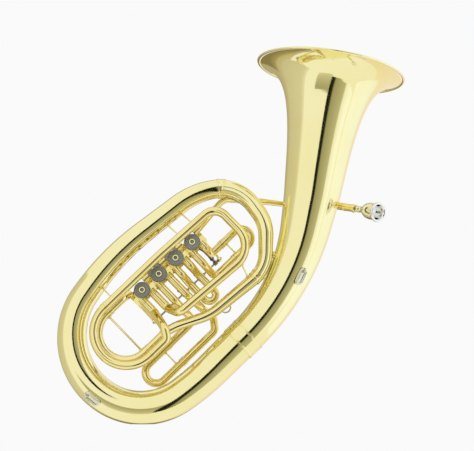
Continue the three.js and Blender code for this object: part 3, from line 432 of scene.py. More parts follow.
AGED = metal("aged_nickel_silver", (0.34, 0.34, 0.30), (0.26, 0.25, 0.21),
             0.22, 0.15, 0.08, 0.0, 420)
WARM = metal("warm_nickel_silver", (0.80, 0.77, 0.56), (0.70, 0.66, 0.45),
             0.12, 0.12, 0.06, 0.0, 420)
BLACK = metal("blackened_steel", (0.10, 0.09, 0.08), (0.05, 0.04, 0.04),
              0.3, 0.2, 0.1, 0.0, 700)
print("metals:", len(bpy.data.materials))

# %% [markdown]
# ## The main tube
# One long cone, wound from the bell rim round the oval and down to the small branch end. In
# the workshop the bell is hammered and spun on a mandrel, and the bows are bent full of
# pitch. Here one centre line and one taper give all four lengths, so their reflections run
# on across every joint.

# %% Centre line and taper
MAIN = [
    (199, 0, 703, 0), (159, 0, 448, 400), (121, 0, 265, 426), (-59, 0, 87, 498),
    (-173, 0, 4, 130), (-304, 0, 104, 142), (-309, 0, 217, 137), (-233, 0, 329, 515),
    (-73, 0, 456, 152), (15, 0, 472, 79), (69, -7, 395, 82), (67, -15, 302, 73),
    (-39, -20, 213, 109), (-105, -20, 192, 150), (-123, -20, 181, 0),
]
TAPER = [
    (236, 57.2), (309, 50.4), (375, 44.8), (437, 40.4), (498, 37.4), (575, 35.6), (715, 33.8),
    (839, 32.4), (948, 30.8), (1052, 28.2), (1163, 25.4), (1281, 22.2), (1404, 19.6),
    (1496, 17.4), (1601, 15), (1702, 12.2), (1806, 10), (1910, 8.7),
]
BELL_END, TOP_JOINT, BRANCH_JOINT = 575, 1462, 1690

main_points = bend(MAIN, step=1.0)
main_along = run_lengths(main_points) / MM
MAIN_LENGTH = main_along[-1]


def raw_radius(s):
    flare = 147 * (12 / (12 + np.clip(s, 0, None))) ** 0.311
    return np.where(s < 236, flare, np.interp(s, *zip(*TAPER)))


def main_radius(s):
    """Outside radius at a distance from the rim, eased so no step shows in the shine."""
    s = np.asarray(s, float)
    reach = np.clip((s - 120) / 4, 0, 38)
    return np.mean([raw_radius(s + k * reach) for k in np.linspace(-1, 1, 9)], axis=0)


def main_spots(stations):
    return at_stations(main_points, np.asarray(stations) * MM)


def main_length(first, last, step, sides, wall=0.8):
    close = np.geomspace(1.5, 90, 34) if first < 10 else []
    stations = np.unique(np.concatenate([np.arange(first, last, step), [last], close]))
    stations = stations[(stations >= first) & (stations <= last)]
    outer = main_radius(stations)
    slope = np.hypot(1, np.gradient(outer, stations))
    return sweep(main_spots(stations), outer * MM, (outer - wall * slope) * MM, sides)


bell = build("bell_flare", [main_length(1.5, BELL_END, 6, 160)])
dress(bell, "horn", BRASS, ["bell"])
lower = build("bottom_bow", [main_length(BELL_END + 0.35, TOP_JOINT, 6, 112)])
dress(lower, "horn", BRASS, ["lower_bow"])
upper = build("top_bow", [main_length(TOP_JOINT + 0.35, BRANCH_JOINT, 4, 72)])
dress(upper, "horn", BRASS, ["upper_bow"])
branch = build("small_branch", [main_length(BRANCH_JOINT + 0.35, MAIN_LENGTH, 4, 64)])
dress(branch, "horn", GOLD, ["branch"])
print("main tube:", round(float(MAIN_LENGTH)), "mm long, rim radius", float(main_radius(0.0)))

# %% [markdown]
# ## Rolled rim and ferrules
# The bell's edge is rolled round a wire, so it is drawn as a full round bead. Ferrules are
# sleeves over the joints, and each carries a pair of turned lines at both ends.

# %% Rim bead and ferrules
rim_axis = main_points[3] - main_points[0]
rim_axis /= np.linalg.norm(rim_axis)
bead = [(145.5 + 2.9 * math.cos(a), 2.4 * math.sin(a)) for a in np.linspace(0, 2 * math.pi, 21)]
bead[-1] = bead[0]
rim = build("rolled_rim", [turned(bead, main_points[0], rim_axis, 180)], 1.2)
dress(rim, "horn", BRASS, ["bell_rim"])


def ferrule(name, middle, half, height, sides, material, node):
    """A sleeve with two turned lines near each end and softly broken edges."""
    line = 1.1
    keys = [(-half, 0.2), (-half + 0.5, 1), (-half + 2 * line, 1), (-half + 2.5 * line, 0.45),
            (-half + 3 * line, 0.9), (-half + 4.2 * line, 0.9), (-half + 4.8 * line, 0.5)]
    calm = np.linspace(-half + 5.2 * line, half - 5.2 * line, 7)
    keys = keys + [(k, 0.5) for k in calm] + [(-k, h) for k, h in reversed(keys)]
    stations = np.array([middle + k for k, _ in keys])
    lift = np.array([h * height for _, h in keys])
    base = main_radius(stations) + 0.35
    part = sweep(main_spots(stations), (base + lift) * MM, base * MM, sides)
    return dress(build(name, [part]), "horn", material, [node])


ferrule("bell_sleeve", BELL_END, 16, 1.0, 128, BRASS, "bell_garland")
ferrule("top_sleeve", TOP_JOINT, 8, 1.2, 96, BRASS, "upper_bow_ferrule")
ferrule("branch_sleeve", BRANCH_JOINT, 8, 1.2, 72, GOLD, "branch_ferrule")
print("sleeves at", BELL_END, TOP_JOINT, BRANCH_JOINT)

# %% [markdown]
# ## Valve tubes and slides
# All the small tubing has two kinds of piece. A sleeve is a bent tube that ends in a ring
# where the slide goes in. A slide is a U of the same tube on two thinner legs. The row of
# valves has its own axes, so each loop is written as corners along and across the row.

# %% Sleeves and slides
TUBE_R, FRONT_R, LEG_R = 7.75, 8.6, 6.0
STUB, SIDE, PITCH = 20.35, 12.3, 44.8


def stepped(points, places, radii):
    """Radius along a tube, with stations added wherever it steps."""
    along = run_lengths(points) / MM
    stations = np.unique(np.concatenate([along, places]))
    stations = stations[np.concatenate([[True], np.diff(stations) > 0.02])]
    return at_stations(points, stations * MM), np.interp(stations, places, radii) * MM


def sleeve(corners, radius, ends=("mouth",), ring=5.0, sides=40):
    """A sleeve with a ring at its mouth, and one at its start too if asked."""
    points = bend(corners, row, 5.0)
    total = run_lengths(points)[-1] / MM
    places = [0, total - ring - 0.4, total - ring, total - 0.4, total]
    radii = [radius, radius, radius + 0.9, radius + 0.9, radius + 0.5]
    if "start" in ends:
        places = [0, 0.4, ring + 2, ring + 2.4] + places[1:]
        radii = [radius + 0.5, radius + 0.9, radius + 0.9, radius] + radii[1:]
    spots, outer = stepped(points, places, radii)
    return sweep(spots, outer, (radius - 0.8) * MM, sides)


def slide(corners, legs, radius, leg, sides=40):
    points = bend(corners, row, 4.0)
    total = run_lengths(points)[-1] / MM
    near = [0, legs - 0.1, legs, legs + 0.4, legs + 4.6, legs + 5]
    rise = [leg, leg, radius + 0.5, radius + 0.9, radius + 0.9, radius]
    places = near + [total - p for p in reversed(near)]
    spots, outer = stepped(points, places, rise + rise[::-1])
    return sweep(spots, outer, (leg - 0.8) * MM, sides)


def rod(corners, radius, place=row, sides=20):
    return sweep(bend(corners, place, 6.0), radius * MM, None, sides)


def bar(a, b, radius, place=row, sides=20):
    """A rod between two points with softly domed ends."""
    a, b = place(a), place(b)
    length = np.linalg.norm(b - a)
    ease = min(radius * 0.35 * MM, length * 0.3)
    stations = np.array([0, ease * 0.3, ease, length - ease, length - ease * 0.3, length])
    spots = a + (b - a) * (stations / length)[:, None]
    radii = radius * MM - ease * np.array([1, 0.3, 0, 0, 0.3, 1])
    return sweep(spots, radii, None, sides)


# %% Front loop of the fourth valve
FW, FRONT_TOP, FRONT_LOW, FRONT_JOINT, FRONT_BOW = -40, -23, 104.5, -73, -77
front_corners = [
    (SIDE, STUB, 0, 0), (SIDE, 58, 0, 16), (20, 84, FW, 16), (214.5, 97, FW, 48),
    (214.5, -17.5, FW, 28), (70, FRONT_TOP, FW, 200), (FRONT_JOINT, FRONT_TOP, FW, 0),
]
stays = [((159, -19.6, FW), 1361), ((124, -21, FW), 1326),
         ((-52, FRONT_TOP, FW), 1150), ((173, 94.2, FW), 1706)]
front_parts = [sleeve(front_corners, FRONT_R)]
for start, station in stays:
    a, b = row(start), main_spots([station])[0]
    way = (b - a) / np.linalg.norm(b - a)
    first = a + way * 7.9 * MM
    last = b - way * (main_radius(station) + 0.4) * MM
    front_parts.append(bar(first, last, 1.5, np.asarray))
    front_parts.append(bar(last - way * 1.6 * MM, last, 3.4, np.asarray))
    front_parts.append(bar(first, first + way * 1.9 * MM, 3.0, np.asarray))
dress(build("front_tube", front_parts), "horn", TUBING, ["valve_4_front_tube"])
back_corners = [(-SIDE, STUB, 0, 0), (-SIDE, 44, 0, 14), (-20, 84, FW, 14),
                (-32, FRONT_LOW, FW, 12), (FRONT_JOINT, FRONT_LOW, FW, 0)]
dress(build("front_return", [sleeve(back_corners, FRONT_R)]), "horn", TUBING,
      ["valve_4_return_tube"])
FRONT_HALF = (FRONT_LOW - FRONT_TOP) / 2
end, far = FRONT_JOINT - 0.45 + 30, FRONT_BOW - FRONT_HALF
dress(build("fourth_slide", [slide([
    (end, FRONT_TOP, FW, 0), (far, FRONT_TOP, FW, FRONT_HALF),
    (far, FRONT_LOW, FW, FRONT_HALF), (end, FRONT_LOW, FW, 0)], 30, FRONT_R, 6.8)]),
    "valve_4_slide", TUBING, ["valve_4_slide"])
print("front loop: slide legs meet the sleeves at u =", FRONT_JOINT)

# %% [markdown]
# ## Main tuning slide and water key
# The tuning slide lies just inside the front loop. A cross stay between its legs is the
# handle, and the water key rides on its lowest point, so it moves with the slide.

# %% Tuning slide
TW, TUNE_TOP, TUNE_LOW, TUNE_JOINT, TUNE_BOW = -20, -14, 90, -72, -79
STAY_U = -81
NIPPLE_V = -13.5
lead = [(-16.9, NIPPLE_V, 0, 0), (-21, NIPPLE_V, 0, 3), (-38, TUNE_TOP, TW, 8),
        (TUNE_JOINT, TUNE_TOP, TW, 0)]
dress(build("tuning_upper_tube", [sleeve(lead, TUBE_R)]), "horn", GOLD,
      ["tuning_upper_sleeve"])
low = [(-25, TUNE_LOW, TW, 0), (TUNE_JOINT, TUNE_LOW, TW, 0)]
dress(build("tuning_lower_tube", [sleeve(low, TUBE_R, ("start", "mouth"))]), "horn", GOLD,
      ["tuning_lower_sleeve"])
TUNE_HALF = (TUNE_LOW - TUNE_TOP) / 2
end, far = TUNE_JOINT - 0.45 + 24, TUNE_BOW - TUNE_HALF
tuning_parts = [slide([
    (end, TUNE_TOP, TW, 0), (far, TUNE_TOP, TW, TUNE_HALF),
    (far, TUNE_LOW, TW, TUNE_HALF), (end, TUNE_LOW, TW, 0)], 24, TUBE_R, LEG_R)]
tuning_parts.append(bar((STAY_U, TUNE_TOP + 7, TW), (STAY_U, TUNE_LOW - 7, TW), 2.1))
for edge, way in ((TUNE_TOP + 7, 1), (TUNE_LOW - 7, -1)):
    tuning_parts.append(bar((STAY_U, edge, TW), (STAY_U, edge + 2.2 * way, TW), 4.2))

# %% Water key
key_out = np.array([-math.sin(ROW_ANGLE), math.cos(ROW_ANGLE)])
key_run = np.array([key_out[1], -key_out[0]])
key_middle = np.array([TUNE_BOW, TUNE_TOP + TUNE_HALF]) + key_out * TUNE_HALF


def key_at(forward, sideways, w):
    u, v = key_middle + key_run * forward + key_out * sideways
    return (u, v, TW + w)


tuning_parts.append(bar(key_at(0, 0, 7), key_at(0, 0, 10.5), 2.9))
for side in (-1, 1):
    across = side * 4.4 - 1.6
    tuning_parts.append(bar(key_at(14, across, 5.6), key_at(14, across, 14.6), 1.35))
tuning_parts.append(bar(key_at(14, -6, 13), key_at(14, 2.8, 13), 0.75))
dress(build("tuning_bow", tuning_parts), "main_tuning_slide", GOLD,
      ["main_tuning_slide"])
key_parts = [
    bar(key_at(0, 0, 11), key_at(0, 0, 14.3), 4.1),
    rod([(*key_at(0, 0, 13), 0), (*key_at(14, -1.6, 13), 20), (*key_at(32, -2, 15.5), 0)], 1.25),
    bar(key_at(14, -4, 13), key_at(14, 0.8, 13), 2.6),
    bar(key_at(32, -2, 14.6), key_at(32, -2, 16.7), 4.5, sides=28),
]
dress(build("drain_key", key_parts), "water_key", NICKEL, ["water_key"])
print("water key on the bow at", np.round(row(key_at(0, 0, 0)), 3))

# %% [markdown]
# ## Slides of the first, second and third valves
# The first slide points up and right, the second down, the third down and left, as room in
# the oval allows. The first and third are entries in a table of corners. The second is a
# plain U, because its sleeves belong to its valve.

# %% Three short loops
loops = [
    dict(name="first", body="valve_1_slide", u=3 * PITCH, w=24, top=38, low=76, joint=177,
         bow=213, legs=19, stay=184, nodes="valve_1_sleeve_",
         tops=[(SIDE, STUB, 0, 0), (SIDE, 27, 0, 6), (SIDE, 38, 24, 9)],
         lows=[(-SIDE, STUB, 0, 0), (-SIDE, 44, 0, 14), (-SIDE, 76, 24, 12)]),
    dict(name="third", body="valve_3_slide", u=PITCH, w=30, top=108, low=151, joint=-37,
         bow=-89, legs=36, stay=-50, nodes="valve_3_sleeve_",
         tops=[(-SIDE, STUB, 0, 0), (-SIDE, 55, 0, 14), (-SIDE, 108, 30, 14)],
         lows=[(SIDE, STUB, 0, 0), (SIDE, 66, 0, 16), (SIDE + 5, 112, 30, 10),
               (SIDE + 8, 130, 30, 14), (SIDE - 8, 151, 30, 14)]),
]
for loop in loops:
    for corners, v, letter in ((loop["tops"], loop["top"], "a"), (loop["lows"], loop["low"], "b")):
        path = [(c[0] + loop["u"], *c[1:]) for c in corners] + [(loop["joint"], v, loop["w"], 0)]
        tube = build(f"{loop['name']}_tube_{letter}", [sleeve(path, TUBE_R)])
        dress(tube, "horn", TUBING, [loop["nodes"] + letter])
    way = 1 if loop["bow"] > loop["joint"] else -1
    half = (loop["low"] - loop["top"]) / 2
    far = loop["bow"] + way * half
    inside = loop["joint"] + way * (0.45 - loop["legs"])
    w = loop["w"]
    parts = [slide([(inside, loop["top"], w, 0), (far, loop["top"], w, half),
                    (far, loop["low"], w, half), (inside, loop["low"], w, 0)],
                   loop["legs"], TUBE_R, LEG_R)]
    parts.append(bar((loop["stay"], loop["top"] + 7, w), (loop["stay"], loop["low"] - 7, w), 1.5))
    for v, side in ((loop["top"] + 7.2, 1), (loop["low"] - 7.2, -1)):
        parts.append(bar((loop["stay"], v, w), (loop["stay"], v + side * 1.8, w), 3.0))
    dress(build(f"{loop['name']}_slide", parts), loop["body"], TUBING,
          [loop["body"]])
u2 = 2 * PITCH
second = [(u2 - SIDE, 61.45, 22, 0), (u2 - SIDE, 105.9, 22, SIDE),
          (u2 + SIDE, 105.9, 22, SIDE), (u2 + SIDE, 61.45, 22, 0)]
dress(build("second_slide", [slide(second, 19, TUBE_R, LEG_R)]), "valve_2_slide", TUBING,
      ["valve_2_slide"])
print("short loops:", [loop["name"] for loop in loops], "and second")

# %% [markdown]
# ## Rotary casings and caps
# Four drums stand in a row, joined by short line tubes. The screw caps face the player, and
# their milled edge repeats the same small ridge all round, so Geometry Nodes places it: one
# ridge, instanced on the points of a circle.

# %% Casings
for number in range(1, 5):
    u = (4 - number) * PITCH
    wall = rounded([(14.7, -17), (16.5, -17), (16.5, -14.4), (16.2, -14), (16.2, 13.6),
                    (16.5, 14), (16.5, 19), (3.7, 19), (3.7, 16), (14.7, 16), (14.7, -17)], 0.5)
    parts = [turned(wall, row((u, 0, 0)), tuple(W), 72)]
    for side in (-1, 1):
        x = u + side * SIDE
        if number == 2:
            path = [(x, 9, 0, 0), (x, 30, 0, 9), (x, 50, 22, 9), (x, 80, 22, 0)]
            parts.append(sleeve(path, TUBE_R))
        else:
            spots, outer = stepped(bend([(x, 9, 0, 0), (x, 20, 0, 0)], row),
                                   [0, 6.6, 7, 10.6, 11], [7.75, 7.75, 8.3, 8.3, 7.9])
            parts.append(sweep(spots, outer, 6.9 * MM, 40))
    if number > 1:
        spots, outer = stepped(bend([(u + 15.4, NIPPLE_V, 0, 0), (u + 29.4, NIPPLE_V, 0, 0)], row),
                               [0, 2, 2.3, 11.7, 12, 14], [7.75, 7.75, 7.4, 7.4, 7.75, 7.75])
        parts.append(sweep(spots, outer, 6.4 * MM, 40))
    casing = build(f"drum_{number}", parts)
    dress(casing, "horn", TUBING, [f"valve_casing_{number}"])
print("drums at u =", [(4 - n) * PITCH for n in range(1, 5)])


# %% A Geometry Nodes tree with named inputs
def node_tree(name, inputs):
    tree = bpy.data.node_groups.new(name, "GeometryNodeTree")
    tree.interface.new_socket("Geometry", in_out="INPUT", socket_type="NodeSocketGeometry")
    keys = {}
    for label, kind in inputs:
        keys[label] = tree.interface.new_socket(label, in_out="INPUT", socket_type=kind).identifier
    tree.interface.new_socket("Geometry", in_out="OUTPUT", socket_type="NodeSocketGeometry")
    enter = tree.nodes.new("NodeGroupInput")
    leave = tree.nodes.new("NodeGroupOutput")
    return tree, enter, leave, keys


def grown(name, tree, keys, values):
    """Runs a tree on an empty mesh and keeps the result as plain vertices and faces."""
    mesh = bpy.data.meshes.new(name)
    obj = bpy.data.objects.new(name, mesh)
    scene.collection.objects.link(obj)
    modifier = obj.modifiers.new("nodes", "NODES")
    modifier.node_group = tree
    for label, value in values.items():
        modifier[keys[label]] = value
    graph = bpy.context.evaluated_depsgraph_get()
    result = bpy.data.meshes.new_from_object(obj.evaluated_get(graph))
    verts = np.array([tuple(v.co) for v in result.vertices])
    faces = [tuple(p.vertices) for p in result.polygons]
    obj.modifiers.remove(modifier)
    bpy.data.objects.remove(obj)
    return verts, faces


def join(tree, pairs):
    for source, target in pairs:
        tree.links.new(source, target)


FLOAT, WHOLE, STUFF = "NodeSocketFloat", "NodeSocketInt", "NodeSocketMaterial"
mill, mill_in, mill_out, mill_keys = node_tree("milled_edge", [
    ("Radius", FLOAT), ("Height", FLOAT), ("Ridge", FLOAT), ("Count", WHOLE), ("Metal", STUFF)])
circle = mill.nodes.new("GeometryNodeMeshCircle")
ridge = mill.nodes.new("GeometryNodeMeshCylinder")
ridge.inputs["Vertices"].default_value = 8
scatter = mill.nodes.new("GeometryNodeInstanceOnPoints")
real = mill.nodes.new("GeometryNodeRealizeInstances")
paint = mill.nodes.new("GeometryNodeSetMaterial")
join(mill, (
    (mill_in.outputs["Radius"], circle.inputs["Radius"]),
    (mill_in.outputs["Count"], circle.inputs["Vertices"]),
    (mill_in.outputs["Ridge"], ridge.inputs["Radius"]),
    (mill_in.outputs["Height"], ridge.inputs["Depth"]),
    (circle.outputs["Mesh"], scatter.inputs["Points"]),
    (ridge.outputs["Mesh"], scatter.inputs["Instance"]),
    (scatter.outputs["Instances"], real.inputs["Geometry"]),
    (real.outputs["Geometry"], paint.inputs["Geometry"]),
    (mill_in.outputs["Metal"], paint.inputs["Material"]),
    (paint.outputs["Geometry"], mill_out.inputs["Geometry"]),
))

# %% Caps
RIDGES = 72
ridges, ridge_faces = grown("ridges", mill, mill_keys, {
    "Radius": 15.75 * MM, "Height": 3.6 * MM, "Ridge": 0.42 * MM, "Count": RIDGES,
    "Metal": MATT})
to_y = np.array(Vector((0, 0, 1)).rotation_difference(Vector((0, 1, 0))).to_matrix())
for number in range(1, 5):
    u = (4 - number) * PITCH
    profile = rounded([
        (0.01, -17.4), (15.7, -17.4), (15.7, -22.6), (14.9, -23.7), (12.6, -23.9), (11.2, -23.3),
        (6.4, -23.3), (6.0, -25.4), (3.5, -25.4), (3.1, -22.4), (0.01, -22.4)], 0.35)
    edge = ridges @ to_y.T + row((u, 0, -20))
    cap = build(f"cap_{number}", [turned(profile, row((u, 0, 0)), (0, 1, 0), 72),
                                  (edge, ridge_faces)])
    dress(cap, "horn", MATT, [f"valve_cap_{number}"])
    ring = [(5.8, -25.5), (5.6, -25.75), (3.9, -25.75), (3.7, -25.5), (3.7, -25.2), (5.8, -25.2),
            (5.8, -25.5)]
    bearing = build(f"bearing_ring_{number}", [turned(ring, row((u, 0, 0)), (0, 1, 0), 48)])
    dress(bearing, "horn", GOLD)
print("caps:", RIDGES, "ridges of", len(ridge_faces) // RIDGES, "faces")

# %% [markdown]
# ## Rotors, stop arms and links
# Behind the casings each stem carries a stop arm that swings a quarter turn between two cork
# bumpers, and a thin link pulls it. The stems and arms are small machined shapes whose solids
# are already right, so they keep their solids and get a fitting metal.

# %% Machined parts keep their solids
for node, material in [(f"rotor_{n}", NICKEL) for n in range(1, 5)] + \
        [(f"stop_arm_{n}", BLACK) for n in range(1, 5)]:
    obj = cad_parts[node]
    obj.data.materials.clear()
    obj.data.materials.append(material)
LINK_U, LINK_W, PIN, AXLE_V, AXLE_W = 7.7, 39.8, 6.36, 50, 80
TIP_V = AXLE_V - PIN
for number in range(1, 5):
    u = (4 - number) * PITCH + LINK_U
    socket = rounded([(0.01, -1.5), (3.7, -1.5), (3.7, 1.5), (0.01, 1.5)], 0.6)
    eye = rounded([(1.9, -1.5), (3.4, -1.5), (3.4, 1.5), (1.9, 1.5), (1.9, -1.5)], 0.3)
    parts = [turned(socket, row((u, -PIN, LINK_W)), (0, 1, 0), 32),
             bar((u, -PIN + 2, LINK_W), (u, TIP_V - 2.9, LINK_W), 1.25),
             turned(eye, row((u, TIP_V, LINK_W)), tuple(U), 32)]
    dress(build(f"link_rod_{number}", parts), f"link_{number}", BLACK,
          [f"link_{number}"])
print("links on", LINK_W, "mm behind the row")

# %% [markdown]
# ## Levers, axle and return springs
# Each finger paddle is an oval touch on a curved arm. All four levers turn on one axle, and
# a small coil beside each hub pushes it back. A coil follows a spiral, so Geometry Nodes
# draws the spiral and gives it a round wire.

# %% Levers
ARM_U, PADDLE_V, PADDLE_W = 12.4, -30, 88
PADDLE_HALF_U, PADDLE_HALF_V, PADDLE_PITCH, PADDLE_MIDDLE = 11, 14, 26, 76


def paddle(u):
    """An oval touch piece: dished on top, with a soft rolled edge."""
    rings = [(0.01, 2.1), (0.45, 2.2), (0.8, 2.7), (0.95, 3.0), (1.0, 2.3),
             (0.97, 0.9), (0.85, 0.2), (0.5, 0.0), (0.01, 0.0)]
    verts, faces, sides = [], [], 40
    for share, height in rings:
        for k in range(sides):
            a = k * 2 * math.pi / sides
            verts.append(row((u + PADDLE_HALF_U * share * math.cos(a),
                              PADDLE_V + PADDLE_HALF_V * share * math.sin(a),
                              PADDLE_W + height)))
    for i in range(len(rings) - 1):
        for k in range(sides):
            n = (k + 1) % sides
            faces.append((i * sides + k, i * sides + n, (i + 1) * sides + n, (i + 1) * sides + k))
    return np.array(verts), faces


for number in range(1, 5):
    base = (4 - number) * PITCH
    arm = base + ARM_U
    touch = PADDLE_MIDDLE + (2.5 - number) * PADDLE_PITCH
    hub = rounded([(2.5, -4), (4.6, -4), (4.6, 4), (2.5, 4), (2.5, -4)], 0.5)
    parts = [
        bar((base + LINK_U - 2.6, TIP_V, LINK_W), (arm, TIP_V, LINK_W), 1.4),
        bar((arm, TIP_V, LINK_W - 1.5), (arm, AXLE_V - 3.6, AXLE_W - 3), 2.0),
        turned(hub, row((arm, AXLE_V, AXLE_W)), tuple(U), 40),
        rod([(arm, AXLE_V - 4, AXLE_W + 0.6, 0), (arm, 0, 86, 30), (touch, -14, PADDLE_W, 8),
             (touch, PADDLE_V, PADDLE_W + 1, 0)], 2.0),
        paddle(touch),
    ]
    dress(build(f"finger_lever_{number}", parts), f"lever_{number}", AGED,
          [f"lever_{number}"])
axle_ends = (-27, 3 * PITCH + 29)
axle_parts = [bar((axle_ends[0], AXLE_V, AXLE_W), (axle_ends[1], AXLE_V, AXLE_W), 2.0)]
dress(build("lever_rod", axle_parts), "horn", STEEL, ["lever_axle"])
print("touch pieces every", PADDLE_PITCH, "mm round u =", PADDLE_MIDDLE)

# %% Return springs
coil, coil_in, coil_out, coil_keys = node_tree("return_spring", [
    ("Turns", FLOAT), ("Radius", FLOAT), ("Length", FLOAT), ("Wire", FLOAT), ("Metal", STUFF)])
spiral = coil.nodes.new("GeometryNodeCurveSpiral")
spiral.inputs["Resolution"].default_value = 20
wire = coil.nodes.new("GeometryNodeCurvePrimitiveCircle")
wire.inputs["Resolution"].default_value = 8
skin = coil.nodes.new("GeometryNodeCurveToMesh")
skin.inputs["Fill Caps"].default_value = True
coil_real = coil.nodes.new("GeometryNodeRealizeInstances")
coil_paint = coil.nodes.new("GeometryNodeSetMaterial")
join(coil, (
    (coil_in.outputs["Turns"], spiral.inputs["Rotations"]),
    (coil_in.outputs["Radius"], spiral.inputs["Start Radius"]),
    (coil_in.outputs["Radius"], spiral.inputs["End Radius"]),
    (coil_in.outputs["Length"], spiral.inputs["Height"]),
    (coil_in.outputs["Wire"], wire.inputs["Radius"]),
    (spiral.outputs["Curve"], skin.inputs["Curve"]),
    (wire.outputs["Curve"], skin.inputs["Profile Curve"]),
    (skin.outputs["Mesh"], coil_real.inputs["Geometry"]),
    (coil_real.outputs["Geometry"], coil_paint.inputs["Geometry"]),
    (coil_in.outputs["Metal"], coil_paint.inputs["Material"]),
    (coil_paint.outputs["Geometry"], coil_out.inputs["Geometry"]),
))
coil_verts, coil_faces = grown("coil", coil, coil_keys, {
    "Turns": 6.0, "Radius": 3.3 * MM, "Length": 8.5 * MM, "Wire": 0.5 * MM, "Metal": STEEL})
to_u = np.array(Vector((0, 0, 1)).rotation_difference(Vector(U)).to_matrix())
spring_parts = []
for number in range(1, 5):
    start = (4 - number) * PITCH + ARM_U + 5.2
    spring_parts.append((coil_verts @ to_u.T + row((start, AXLE_V, AXLE_W)), coil_faces))
dress(build("return_springs", spring_parts), "horn", STEEL)
print("springs:", len(coil_verts), "points each")

# %% [markdown]
# ## Carriage behind the valves
# A flat plate screwed to the casings carries the corks and two curved posts for the axle.
# It is drawn as one plate with rounded ends, so that its holes stay clean.

# %% Carriage
FIRST, LAST, BACK = -26, 3 * PITCH + 28, 19.35


def flat_plate(low_u, high_u, half, low_w, high_w, holes):
    """A plate with round holes, filled from its outline and then given its thickness."""
    bm = bmesh.new()
    corner = 6
    outline = []
    left, right, top = low_u + corner, high_u - corner, half - corner
    for cu, cv, start in ((right, top, 0), (left, top, 90), (left, -top, 180), (right, -top, 270)):
        for k in range(7):
            a = math.radians(start + 15 * k)
            outline.append((cu + corner * math.cos(a), cv + corner * math.sin(a)))
    loops_2d = [outline]
    for hu, radius in holes:
        loops_2d.append([(hu + radius * math.cos(a), radius * math.sin(a))
                         for a in np.linspace(0, 2 * math.pi, 28, endpoint=False)])
    edges = []
    for loop_2d in loops_2d:
        ring = [bm.verts.new((x, y, low_w)) for x, y in loop_2d]
        edges += [bm.edges.new((ring[i - 1], ring[i])) for i in range(len(ring))]
    flat = bmesh.ops.triangle_fill(bm, use_beauty=True, edges=edges)
    faces = [g for g in flat["geom"] if isinstance(g, bmesh.types.BMFace)]
    top = bmesh.ops.extrude_face_region(bm, geom=faces)
    moved = [g for g in top["geom"] if isinstance(g, bmesh.types.BMVert)]
    bmesh.ops.translate(bm, verts=moved, vec=(0, 0, high_w - low_w))
    bm.verts.index_update()
    verts = np.array([row(tuple(v.co)) for v in bm.verts])
    cells = [tuple(v.index for v in f.verts) for f in bm.faces]
    bm.free()
    return verts, cells


parts = [flat_plate(FIRST, LAST, 15, BACK, BACK + 2, [(k * PITCH, 5.0) for k in range(4)])]
corks = []
for k in range(4):
    for side in (-1, 1):
        spot = (k * PITCH - 3.65, side * 11.43)
        corks.append(bar((*spot, BACK + 1), (*spot, 37), 2.5, sides=24))
for u in (FIRST + 4, LAST - 4):
    parts.append(rod([(u, 8, BACK + 1, 0), (u, 8, 46, 12), (u, AXLE_V, AXLE_W - 6, 12),
                      (u, AXLE_V, AXLE_W - 3, 0)], 2.5, sides=24))
    eye = rounded([(2.4, -3), (5, -3), (5, 3), (2.4, 3), (2.4, -3)], 0.5)
    parts.append(turned(eye, row((u, AXLE_V, AXLE_W)), tuple(U), 40))
dress(build("lever_plate", parts + corks), "horn", TUBING, ["valve_carriage"])
print("carriage from u =", FIRST, "to", LAST)

# %% [markdown]
# ## Leadpipe, receiver and mouthpiece
# The leadpipe leaves the first valve, passes behind the bell and comes out towards the
# player's lips. It tapers towards the receiver, which holds the shank of the mouthpiece.

# %% Leadpipe
RECEIVER = np.array([202.0, 45.0, 440.0])
LIPS = np.array([286.0, -52.0, 408.0])
mouthwards = (LIPS - RECEIVER) / np.linalg.norm(LIPS - RECEIVER)
valve_end = ROW_ORIGIN + (3 * PITCH + 16.9) * U + NIPPLE_V * V
pipe_corners = [(*valve_end, 0), (-62, 0, 386.5, 20), (-14, 18, 447, 30), (62, 44, 447, 60),
                (125, 71, 444, 50), (*(RECEIVER - 14 * mouthwards), 30),
                (*(RECEIVER + 14 * mouthwards), 0)]
pipe_points = bend(pipe_corners, horn, 4.0)
pipe_total = run_lengths(pipe_points)[-1] / MM
taper = [0, 4, 4.4, pipe_total]
spots, outer = stepped(pipe_points, taper, [7.9, 7.9, 7.35, 4.4])
dress(build("leadpipe_tube", [sweep(spots, outer, outer - 0.8 * MM, 40)]), "horn", GOLD,
      ["leadpipe"])

# %% Receiver and mouthpiece
socket = rounded([
    (5.1, 0), (6.3, 0), (6.5, 2), (6.1, 3), (6.2, 12), (7.3, 17), (7.3, 34), (7.9, 35),
    (7.9, 38), (7.3, 39), (7.3, 60), (8.3, 61), (8.3, 68), (6.1, 68), (6.1, 30), (5.1, 26),
    (5.1, 0)], 0.5)
dress(build("mouth_socket", [turned(socket, horn(RECEIVER), tuple(mouthwards), 56)]), "horn",
      GOLD, ["mouthpiece_receiver"])
LONG = 85
cup = rounded([
    (3.6, 0), (5.2, 0), (5.6, 24), (6.5, 28), (6.5, 31), (5.9, 34), (6.1, 38), (8.2, 43),
    (12.2, 48), (15.0, 54), (16.5, 61), (16.7, 70), (16.4, 76), (18.6, 78.5), (19.9, 81),
    (19.6, 83.6), (18.2, 84.9), (16.2, 84.4), (14.0, 82), (12.9, 78), (12.2, 72), (10.6, 65),
    (8.0, 59), (4.4, 54), (3.4, 50), (3.5, 40), (3.6, 0)], 1.4, 4)
dress(build("mouthpiece_cup", [turned(cup, horn(LIPS - LONG * mouthwards), tuple(mouthwards), 72)],
            1.0), "mouthpiece", SILVER, ["mouthpiece"])
print("leadpipe", round(pipe_total), "mm, mouthpiece", LONG, "mm")

